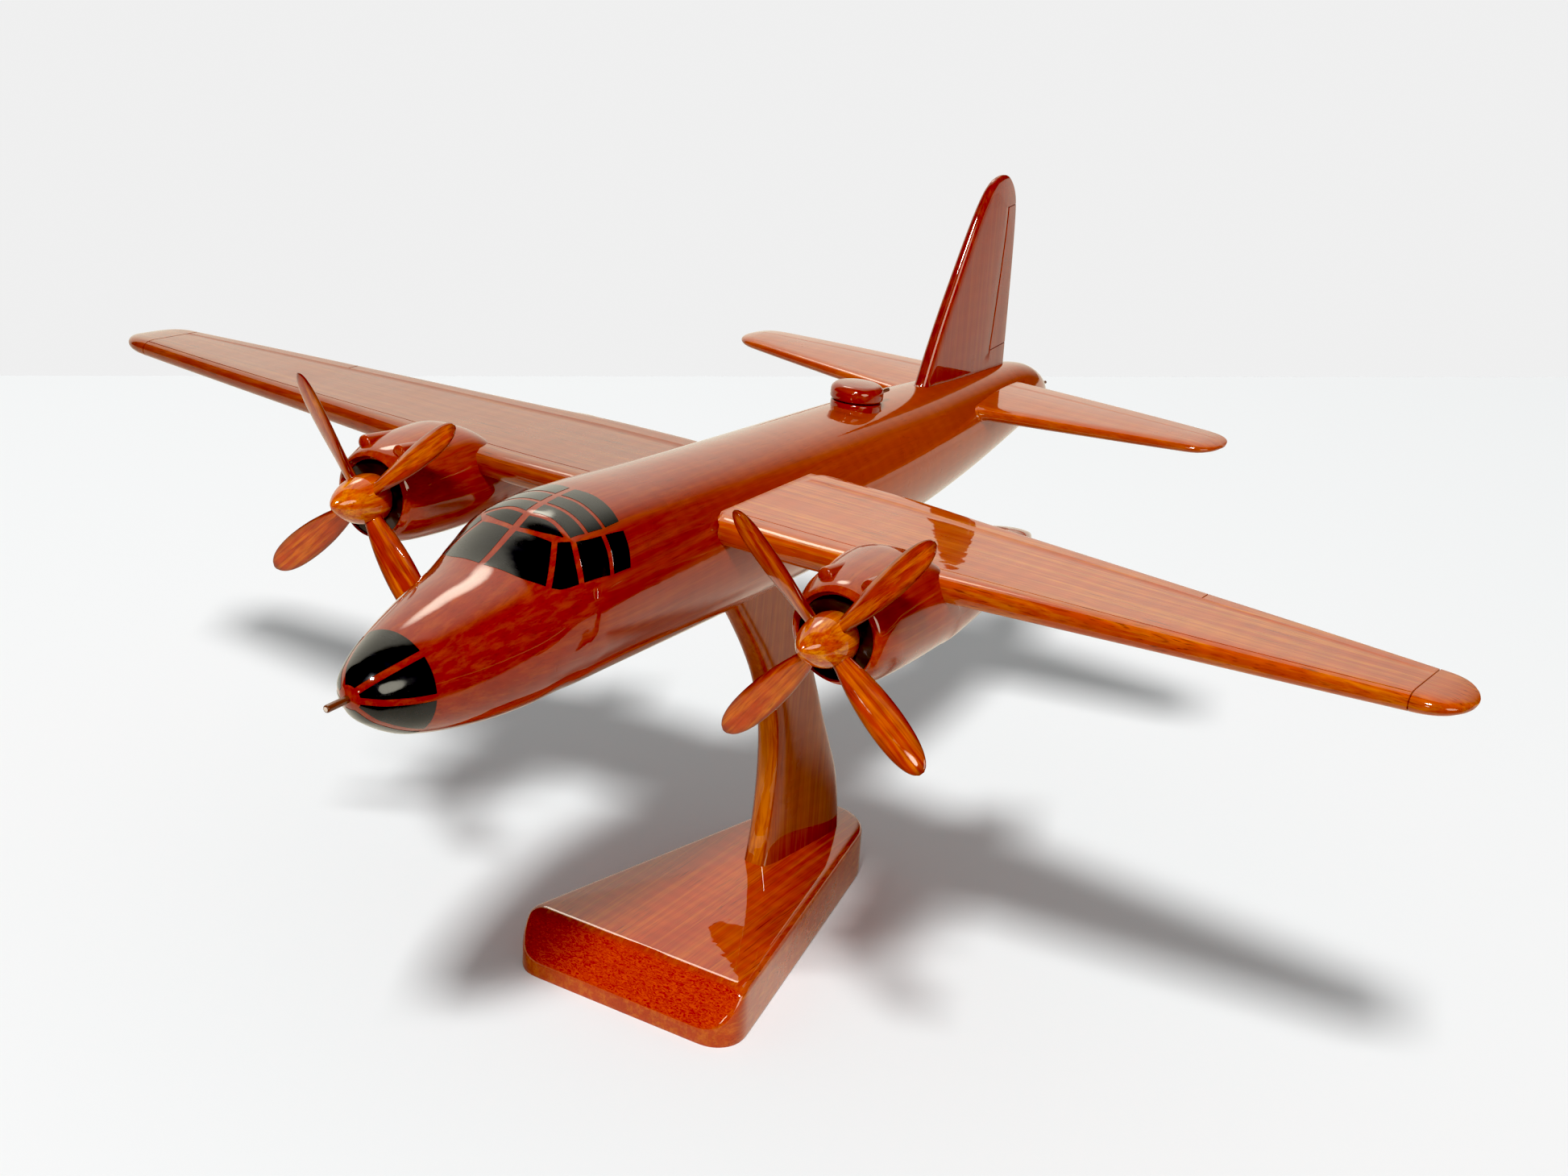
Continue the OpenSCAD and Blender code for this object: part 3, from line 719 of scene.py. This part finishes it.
def plank_ring(c, half, from_front, from_rear, cut_front, cut_rear, cut_across, wedge):
    """Loop of (chordwise, thickness) points, nose to tail on top and back below."""
    front, rear = min(from_front, 0.4 * c), c - min(from_rear, 0.35 * c)
    top = []
    for i, (u, share) in enumerate(section(c, front, rear, min(1.0, c / 16), wedge)):
        t = share * half
        if i == GROOVE_F:
            t -= cut_front
        if i == GROOVE_R:
            t -= cut_rear
        if cut_across == 1 or (cut_across and i > GROOVE_R + 1):
            t = max(0.0, t - CHORD_CUT)
        if cut_across == 1:
            u = lerp(u, c / 2, 0.6 / c)
        top.append((u, t))
    return top + [(u, -t) for u, t in top[-2:0:-1]]


def edge_rim(i, count):
    """How dark the wood is at the rounded front and rear edges."""
    if i < 4 or i > count - 4:
        return 0.4
    return 0.25 if i == 4 else 0.0


def plank(table, stations, front, rear, front_span, rear_span, across, place, rear_depth, wedge=False):
    """Rings and rim numbers of a lifting surface.

    front and rear are the tables of the engraved lines, which are cut over those spans. across holds
    the chordwise lines as (place, kind): kind 1 runs all the way, and kind 2 over the rear flap alone.
    """
    rings, rims = [], []
    for s in stations:
        le, te, half, mid = [curve(table, s, k) for k in (1, 2, 3, 4)]
        cf = FRONT_CUT if front_span[0] <= s <= front_span[1] else 0.0
        cr = rear_depth if rear_span[0] <= s <= rear_span[1] else 0.0
        kind = next((k for p, k in across if abs(p - s) < 0.01), 0)
        lines = curve(front, s, 1), curve(rear, s, 1)
        loop = plank_ring(te - le, max(half, 0.05), *lines, cf, cr, kind, wedge)
        rings.append([Vector(place(s, le + u, mid, t)) for u, t in loop])
        count = len(loop) // 2 + 1
        for k in range(len(loop)):
            i = min(k, len(loop) - k)
            if (cf and i == GROOVE_F) or kind == 1 or (kind == 2 and i > GROOVE_R):
                rims.append(1.0)
            elif cr and i == GROOVE_R:
                rims.append(rear_depth * 2)
            else:
                rims.append(edge_rim(i, count))
    return rings, rims


def span_stations(table, n, extra, start):
    """Spanwise stations beyond start, with five close lines round each chordwise groove."""
    out = {round(s, 3) for s in steps(table, n)}
    for p in extra:
        out = {s for s in out if abs(s - p) > 0.5}
        out |= {p - GROOVE, p - GROOVE / 2, p, p + GROOVE / 2, p + GROOVE}
    return [s for s in sorted(out) if s > start]


def seat(rings, axis, surface, gaps):
    """Moves the root ring just inside the fuselage's skin, and keeps the next rings beyond it."""
    for p in rings[0]:
        p[axis] = surface(p) - ROOT_DEPTH
    for gap, inner, ring in zip(gaps, rings, rings[1:]):
        for p, q in zip(ring, inner):
            p[axis] = max(p[axis], q[axis] + gap)


# the engraved lines: place along the span, distance from the edge
WING_FRONT = [(14, 9), (29, 9), (56, 9), (100, 6.4), (142, 3.9), (165, 3.2), (205, 2.6), (225, 2.4)]
WING_REAR = [(14, 7), (60, 6.6), (100, 5.4), (147, 5), (212, 4), (225, 3.6)]
FIN_REAR = [(146, 13.4), (158.5, 13.2), (170, 11.6), (209, 6.4), (220.4, 5)]
TAIL_REAR = [(0, 7.5), (100, 7.5)]
# a line that is nowhere cut
UNCUT, NO_SPAN = [(0, 6), (250, 6)], (0, -1)


def flat(x, y, z, t):
    return x, y, z + t


def upright(z, y, x, t):
    return x + t, y, z


wing_rings, wing_rims = plank(
    WING, span_stations(WING, 6, (147, 211.4), 20), WING_FRONT, WING_REAR, (22, 211), (22, 211),
    ((211.4, 1), (147, 2)), flat, 0.09, True,
)
seat(wing_rings, 0, fuselage_side, [0.4] + [0.2] * 10)
tail_rings, tail_rims = plank(
    TAIL, span_stations(TAIL, 12, (), 8), UNCUT, TAIL_REAR, NO_SPAN, (8, 88), (), flat, 0.06,
)
seat(tail_rings, 0, fuselage_side, [0.15] * 21)
verts, faces = skin(wing_rings)
for side in SIDES:
    build(
        side + "_wing_panel", on_side(side, verts), faces, "airframe", mat_wing[side], "wing_wood",
        [side + "_wing"], rim=wing_rims,
    )
verts, faces = skin(tail_rings)
for side in SIDES:
    build(
        side + "_tailplane_panel", on_side(side, verts), faces, "airframe", mat_tail, "wing_wood",
        [side + "_tailplane"], rim=tail_rims,
    )
fin_rings, fin_rims = plank(
    FIN, span_stations(FIN, 8, (160.5, 209), 150), UNCUT, FIN_REAR, NO_SPAN, (158.5, 209.2),
    ((160.5, 2), (209, 2)), upright, 0.2,
)
seat(fin_rings, 2, lambda p: fuselage_height(p.x, p.y, 1), [0.15] * 29)
build("fin_panel", *skin(fin_rings), "airframe", mat_fin, "body_wood", ["fin"], rim=fin_rims)


# ---------------------------------------- nacelles
NACELLE_N = 80


def nacelle_ring(y):
    top, bottom, half_width, drift = [curve(NACELLE, y, k) for k in (1, 2, 3, 4)]
    mid, rise = (top + bottom) / 2, (top - bottom) / 2
    # round at the cowl's lip and squarer behind it
    squarer = clamp((y + 86) / 5)
    out = []
    for k in range(NACELLE_N):
        a = 2 * math.pi * k / NACELLE_N
        power = lerp(2, 2.4 if math.sin(a) > 0 else 2.1, squarer)
        x = ENGINE_X + drift + half_width * signed_power(math.cos(a), 2 / power)
        out.append(Vector((x, y, mid + rise * signed_power(math.sin(a), 2 / power))))
    return out


def axis_frame(x=ENGINE_X):
    """Z runs aft along the propeller axis from the spinner's point."""
    return along_y(x, TIP_Y, TIP_Z, TILT)


# the cowl's mouth from its depth to its lip, then the nacelle's outside
MOUTH = [(11, 28), (11, 25), (11, 22), (11, 19.5), (11, 17.8), (11, 17.35), (11.15, 17.1), (11.45, 16.98)]
LIP_YS = [-88.6, -88.5, -88.2, -87.7, -87.2, -86.2, -85.2, -83.2]
LINING = [
    (10.95, 17.7), (10.95, 27.95), (1.5, 27.95), (1.5, 27.5), (3.6, 27.4), (3.8, 26.9), (4.2, 27.4),
    (10.2, 27.5), (10.6, 27.1), (10.75, 18.2),
]
# the mouth's angle runs the same way as the nacelle's rings
rings = [circle(r, s, axis_frame(), NACELLE_N, -1) for r, s in MOUTH]
rings += [nacelle_ring(y) for y in LIP_YS + [y for y in steps(NACELLE, 5) if y > -82]]
outer_verts, outer_faces = skin(rings)
lining = lathe(LINING, axis_frame(), NACELLE_N)
intakes = join([
    lathe(rod(2.25, 17.6, False), along_y(ENGINE_X + dx, -85.2, 163.2, TILT), 40) for dx in (-6.4, 6.4)
])
for side in SIDES:
    for name, (verts, faces), material, replaced in (
        ("_nacelle_body", (outer_verts, outer_faces), mat_nacelle, [side + "_nacelle"]),
        ("_cowl_lining", lining, mat_cowl, []),
        ("_intake_pair", intakes, mat_nacelle, [side + "_intakes"]),
    ):
        build(side + name, on_side(side, verts), faces, "airframe", material, "body_wood", replaced)


# ---------------------------------------- propellers
def blade_mesh():
    """One blade standing along Z, with its rim numbers."""
    rings, rims = [], []
    for r in [5.8] + [r for r in steps(BLADE, 5) if r > 6]:
        chord, thick, pitch = [curve(BLADE, r, k) for k in (1, 2, 3)]
        p = math.radians(pitch)
        ring = []
        for k in range(32):
            a = 2 * math.pi * k / 32
            c = chord / 2 * signed_power(math.cos(a), 0.95)
            t = thick / 2 * signed_power(math.sin(a), 1.1)
            x, y = c * math.cos(p) - t * math.sin(p), -c * math.sin(p) - t * math.cos(p)
            ring.append(Vector((x, DISC_S + y, r)))
            rims.append(max(abs(math.cos(a)) ** 5, clamp((r - 38.5) / 3)))
        rings.append(ring)
    return *skin(rings), rims


rows = [(i, *p) for i, p in enumerate(SPINNER)]
spinner_profile = [(curve(rows, s, 1), curve(rows, s, 2)) for s in steps(rows, 4)]
spinner_profile += [(7.2, 15.5), (7.05, 17), (6.85, 17.8), (6.6, 18.3), (6.1, 18.7), (5.8, 18.8), (0, 18.8)]
blade_verts, blade_faces, blade_rims = blade_mesh()
for side, x, cone_seed, leaf_seed in (("port", ENGINE_X, 1.1, 0), ("starboard", -ENGINE_X, 2.6, 1.7)):
    hub = Matrix.Translation((x, TIP_Y, TIP_Z)) @ Matrix.Rotation(math.radians(-TILT), 4, "X")
    cone_wood = wood(
        side + "_spinner_wood", *SPINNER_WOOD, turn=ALONG_Y, pores=0.4, figure=0.3, contrast=0.85,
        seed=cone_seed,
    )
    build(
        side + "_spinner_cone", *lathe(spinner_profile, axis_frame(x), 72), side + "_propeller", cone_wood,
        "propeller_wood", [side + "_spinner"],
    )
    for i in range(4):
        angle = math.radians(PHASES[side] + 90 * i)
        turn = hub @ Matrix.Rotation(angle, 4, "Y")
        # grain along the blade: the mapping takes the blade's own direction to X
        lay = (Matrix.Rotation(QUARTER, 4, "Y") @ Matrix.Rotation(-angle, 4, "Y")).to_euler()
        name = "%s_blade_%d" % (side, i + 1)
        leaf_wood = wood(
            name + "_wood", *BLADE_WOOD, rim=0.75, contrast=0.75, turn=tuple(lay), pores=0.35, figure=0.35,
            seed=0.37 * (i + 1) + leaf_seed,
        )
        build(
            name + "_leaf", [turn @ v for v in blade_verts], blade_faces, side + "_propeller", leaf_wood,
            "propeller_wood", [name], rim=blade_rims,
        )


# ---------------------------------------- turret and gun rods
seat_profile = [(1.56, -3), (8, -3), (8, 1.2), (7.95, 1.45), (7.8, 1.68), (7.6, 1.82), (7.3, 1.9)]
seat_profile += [(1.56, 1.9), (1.56, -3)]
seat_mesh = lathe(seat_profile, TURRET, 72, False)
build("turret_seat", *seat_mesh, "airframe", mat_turret, "body_wood", ["turret_ring"])
shoulder = [math.radians(a) for a in range(10, 90, 10)]
dome_profile = [(0, 2.3), (7.5, 2.3), (7.95, 2.38), (8.2, 2.6), (8.3, 3), (8.3, 4.8)]
dome_profile += [(5.7 + 2.6 * math.cos(a), 4.8 + 2.4 * math.sin(a)) for a in shoulder]
dome_profile += [(5.4, 7.24), (4.4, 7.36), (3, 7.5), (1.5, 7.58), (0, 7.6)]
build("turret_cap", *lathe(dome_profile, TURRET, 72), "turret", mat_turret, "body_wood", ["turret_dome"])
guns = join([lathe(rod(0.65, 9.4), TURRET @ along_y(x, 3, 4.2), 28) for x in (-4.2, 4.2)])
build("turret_gun_rods", *guns, "turret", mat_rod, "gun_rod_wood", ["turret_guns"])
guns = lathe(rod(1, 15.5), along_y(0, -191.5, 143.2), 36)
build("nose_gun_rod", *guns, "airframe", mat_nose_rod, "gun_rod_wood", ["nose_gun"])
guns = join([lathe(rod(0.6, 12.5), along_y(x, 170, 138.4), 28) for x in (-2, 2)])
build("tail_gun_rods", *guns, "airframe", mat_rod, "gun_rod_wood", ["tail_guns"])


# ---------------------------------------- stand
BASE_TOP = 17.6
COLUMN_N, COLUMN_SQUARE, SADDLE_GAP = 96, 0.36, 0.3


def column_xy(z, a):
    front, rear, wf, wr = [curve(COLUMN, z, k) for k in (1, 2, 3, 4)]
    y = (front + rear) / 2 - (rear - front) / 2 * signed_power(math.cos(a), COLUMN_SQUARE)
    w = lerp(wf, wr, (y - front) / (rear - front))
    return -w * signed_power(math.sin(a), COLUMN_SQUARE), y


def saddle(x, y):
    """Height of the column's top, close under the fuselage."""
    return fuselage_height(x, y, -1) - SADDLE_GAP


def column_top(a):
    """Height where the column's side at that angle meets the fuselage."""
    top = 120.0
    for _ in range(12):
        top = min(124.0, saddle(*column_xy(top, a)))
    return top


def column_ring(t):
    ring = []
    for a, top in tops:
        z = lerp(BASE_TOP, top, t)
        ring.append(Vector((*column_xy(z, a), z)))
    return ring


tops = [(a, column_top(a)) for a in (2 * math.pi * k / COLUMN_N for k in range(COLUMN_N))]
rings = [column_ring(k / 60) for k in range(61)]
# saddle on top: rings closing in, each on the fuselage's underside
edge = rings[-1]
centre = sum(edge, Vector()) / COLUMN_N
for share in (0.94, 0.8, 0.6, 0.4, 0.2, 0.05):
    inner = [centre.lerp(p, share) for p in edge]
    rings.append([Vector((q.x, q.y, saddle(q.x, q.y))) for q in inner])
build("stand_column_body", *skin(rings), "stand", mat_column, "column_wood", ["stand_column"], sharp=60)


def arc(cx, cy, r, a0, a1, n):
    angles = [lerp(a0, a1, k / n) for k in range(n + 1)]
    return [(cx + r * math.cos(a), cy + r * math.sin(a)) for a in angles]


TAPER, HALF_WIDTH = 0.2264, 26.2  # each side's slope in plan, and half the width at y = 0
SIDE_LEAN = math.atan(TAPER)
FRONT_Y, FRONT_R, BACK_Y, BACK_R = -69.5, 9, 58, 16
BASE_ROUND, FOOT_HEIGHT = 2.6, 1.2
BEVEL_FOOT, FOOT_ROUND, BEVEL_RUN = 5.5, 1.6, 0.785


def base_outline(inset):
    """Plan of the base, counted from the middle of its back, drawn in by inset."""
    front_x = HALF_WIDTH - TAPER * (FRONT_Y + FRONT_R) - FRONT_R / math.cos(SIDE_LEAN)
    back = arc(0, BACK_Y - BACK_R, BACK_R - inset, math.pi / 2, math.pi - SIDE_LEAN, 20)
    left = arc(-front_x, FRONT_Y + FRONT_R, FRONT_R - inset, math.pi - SIDE_LEAN, 1.5 * math.pi, 20)
    return back + left


def evened(line, n):
    """n + 1 points, evenly spaced along a line of points."""
    lengths = [0.0]
    for p, q in zip(line, line[1:]):
        lengths.append(lengths[-1] + math.hypot(q[0] - p[0], q[1] - p[1]))
    out = []
    j = 0
    for k in range(n + 1):
        t = lengths[-1] * k / n
        while j < len(lengths) - 2 and lengths[j + 1] < t:
            j += 1
        share = (t - lengths[j]) / max(lengths[j + 1] - lengths[j], 1e-9)
        out.append(tuple(lerp(a, b, share) for a, b in zip(line[j], line[j + 1])))
    return out


def base_ring(z):
    """Cross-section of the base at height z, with softly rounded corners."""
    over = max(0.0, z - (BASE_TOP - BASE_ROUND)) + max(0.0, FOOT_HEIGHT - z) * BASE_ROUND / FOOT_HEIGHT * 0.4
    inset = BASE_ROUND - math.sqrt(max(0.0, BASE_ROUND**2 - over**2))
    # the front runs up the bevel, and the foot of the bevel is rounded into the front
    rise = max(0.0, z - BEVEL_FOOT + FOOT_ROUND)
    back = BEVEL_RUN * (rise - FOOT_ROUND if rise > 2 * FOOT_ROUND else rise**2 / (4 * FOOT_ROUND))
    front = FRONT_Y + inset + back
    outline = base_outline(inset)
    half = [p for p in outline if p[1] > front]
    cut_off = outline[len(half):]
    if cut_off and back > 0.01:
        (x0, y0), (x1, y1) = half[-1], cut_off[0]
        half.append((lerp(x0, x1, (y0 - front) / max(y0 - y1, 1e-6)), front))
    half.append((0, front))
    # even spacing along the line, then a moving average that rounds its corners
    even = evened(half, 150)
    full = even + [(-x, y) for x, y in even[-2:0:-1]]
    soft = []
    for k in range(len(full)):
        near = [full[(k + d) % len(full)] for d in (-2, -1, 0, 1, 2)]
        soft.append(Vector((sum(p[0] for p in near) / 5, sum(p[1] for p in near) / 5, z)))
    return soft


base_zs = [0, 0.3, 0.7] + [1.2 + 0.35 * k for k in range(22)] + [8.9 + 0.6 * k for k in range(1, 11)]
base_zs += [BASE_TOP - BASE_ROUND + BASE_ROUND * math.sin(math.radians(a)) for a in range(6, 91, 12)]
base_mesh = skin([base_ring(z) for z in base_zs])
base = build("base_block", *base_mesh, "stand", mat_base, "base_wood", ["base_plate"], sharp=30)
SCREW_HOLE = [(0, -1), (3.6, -1), (3.6, 0.6), (1.75, 2.8), (1.75, 30), (0, 30)]
for y in (17, 34):
    carve(base, *lathe(SCREW_HOLE, Matrix.Translation((0, y, 0)), 40))

# ---------------------------------------- carried-over nodes
for material, nodes in (
    (mat_steel, ("column_screws", "port_pin", "starboard_pin")),
    (mat_dowel, ("support_pegs", "wing_dowels", "fin_dowels", "tailplane_dowels", "turret_peg")),
):
    for node in nodes:
        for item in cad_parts[node].material_slots:
            item.material = material


# ---------------------------------------- studio
m = Material("studio_floor")
light_path = m.node("ShaderNodeLightPath")
mirrored = light_path.outputs["Is Glossy Ray"]
away = m.node("ShaderNodeVectorMath", operation="LENGTH")
m.feed(m.coords(), away.inputs[0])
away = away.outputs["Value"]
# painted light: the sheet is painted lighter towards the back
depth = m.axis(m.coords((0, 0, math.radians(-43.2))), "Y")
sheet = m.mix(m.step(depth, -0.6, 0.6, kind="LINEAR"), (0.84, 0.84, 0.84), (0.97, 0.97, 0.97))
# a shade cooler round the object, against the red light that the wood throws on it
sheet = m.mix(1.0, sheet, m.mix(m.step(away, 0.06, 0.3), (0.955, 0.995, 1.0), (1, 1, 1)), "MULTIPLY")
# the sheet ends in front of the picture, so the lacquer mirrors a dark room beyond it
beyond = m.step(m.axis(m.coords((0, 0, math.radians(-37.1))), "Y"), -0.25, -0.29, kind="LINEAR")
in_lacquer = m.mix(beyond, m.mix(1.0, sheet, (0.97, 0.9, 0.74), "MULTIPLY"), (0.02, 0.02, 0.02))
# past the picture the floor fades into the backdrop, so that other views have no dark distance
faded = m.mix(mirrored, m.step(away, 0.95, 1.7), (0, 0, 0))
AMBIENT, BACKDROP = 0.33, 0.87
m.set(
    Base_Color=m.mix(faded, m.mix(mirrored, sheet, in_lacquer), (0, 0, 0)),
    Emission_Strength=faded, Emission_Color=(BACKDROP, BACKDROP, BACKDROP),
    Roughness=0.75, Specular_IOR_Level=0.0,
)
# the floor's far edge is the line across the photo; the sheet comes from there towards the camera
FAR_A, FAR_B = Vector((-0.583, 0.252, 0)), Vector((0.02, 0.818, 0))
across = (FAR_B - FAR_A).normalized() * 4
near = Vector((across.y, -across.x, 0)) * 1.25
mid = (FAR_A + FAR_B) / 2
mesh = bpy.data.meshes.new("floor")
mesh.from_pydata([mid - across, mid + across, mid + across + near, mid - across + near], [], [(0, 1, 2, 3)])
mesh.materials.append(m.mat)
add_object("floor", mesh)

world = bpy.data.worlds.new("studio")
bpy.context.scene.world = world
world.use_nodes = True
world.node_tree.nodes.clear()
w = Nodes(world.node_tree)
sky = w.node("ShaderNodeTexCoord").outputs["Generated"]
height = w.axis(sky, "Z")


def glow(direction, low, high, strength=1.0):
    """A soft-edged patch of light in that direction, over a range of cosines."""
    return w.math("MULTIPLY", w.step(w.toward(sky, direction), low, high), strength)


# what the lacquer reflects: a white wall and sheet behind at the left, and soft boxes
wall = w.math("MULTIPLY", glow((-1, -0.2, 0.35), -0.25, 0.3), glow((-0.06, 0.98, -0.19), -0.05, 0.05))
wall = w.math("MULTIPLY", wall, w.math("MULTIPLY_ADD", height, 0.55, 1.05))
high_lamp = glow((-0.47, 0.48, 0.74), 0.986, 0.999, 8.0)
front_lamp = glow((0.2, -0.93, 0.37), 0.997, 0.999, 14.0)
side_lamp = glow((0.87, -0.38, 0.33), 0.955, 0.975, 6.0)
below = w.step(height, 0.01, -0.03, 0.9)
room = w.math("MAXIMUM", wall, w.math("MAXIMUM", below, 0.015))
room = w.math("ADD", room, w.math("ADD", w.math("MAXIMUM", high_lamp, front_lamp), side_lamp))
light_path = w.node("ShaderNodeLightPath")
mirrored, seen = light_path.outputs["Is Glossy Ray"], light_path.outputs["Is Camera Ray"]
back = w.node("ShaderNodeBackground")
w.feed(w.mix(seen, w.mix(mirrored, (0.96, 1, 1), (1, 0.95, 0.79)), (1, 1, 1)), back.inputs["Color"])
w.feed(w.pick(seen, w.pick(mirrored, AMBIENT, room), BACKDROP), back.inputs["Strength"])
w.feed(back.outputs[0], w.node("ShaderNodeOutputWorld").inputs["Surface"])

KEY_AT, KEY_AIM = Vector((0.58, -1.3, 1.93)), Vector((0, 0, 0.1))
key_data = bpy.data.lights.new("key", "AREA")
key_data.shape, key_data.size, key_data.energy = "SQUARE", 0.3, 8.9
key = add_object("key", key_data)
key.location = KEY_AT
key.rotation_mode = "QUATERNION"
key.rotation_quaternion = (KEY_AIM - KEY_AT).to_track_quat("-Z", "Y")
# even light over the whole floor, as from a far lamp
key_data.use_nodes = True
key_nodes = Nodes(key_data.node_tree)
fall = key_nodes.node("ShaderNodeLightFalloff", Strength=1.0)
key_nodes.feed(fall.outputs["Constant"], key_nodes.tree.nodes["Emission"].inputs["Strength"])

# ---------------------------------------- camera
CAMERA_AT, TURNED, TIPPED, ROLLED = (0.3486, -0.565, 0.3838), 31.104, 67.946, 3.642
cam_data = bpy.data.cameras.new("photo_camera")
cam_data.sensor_width, cam_data.lens = 36, 54.2
cam_data.clip_start, cam_data.clip_end = 0.05, 30
cam = add_object("photo_camera", cam_data)
pose = Matrix.Translation(CAMERA_AT)
for degrees, letter in ((TURNED, "Z"), (TIPPED, "X"), (ROLLED, "Z")):
    pose = pose @ Matrix.Rotation(math.radians(degrees), 4, letter)
cam.matrix_world = pose
bpy.context.scene.camera = cam
view = bpy.context.scene.view_settings
view.view_transform = "Standard"
view.use_curve_mapping = True
view.curve_mapping.black_level = (0.02, 0.02, 0.02)
view.curve_mapping.update()
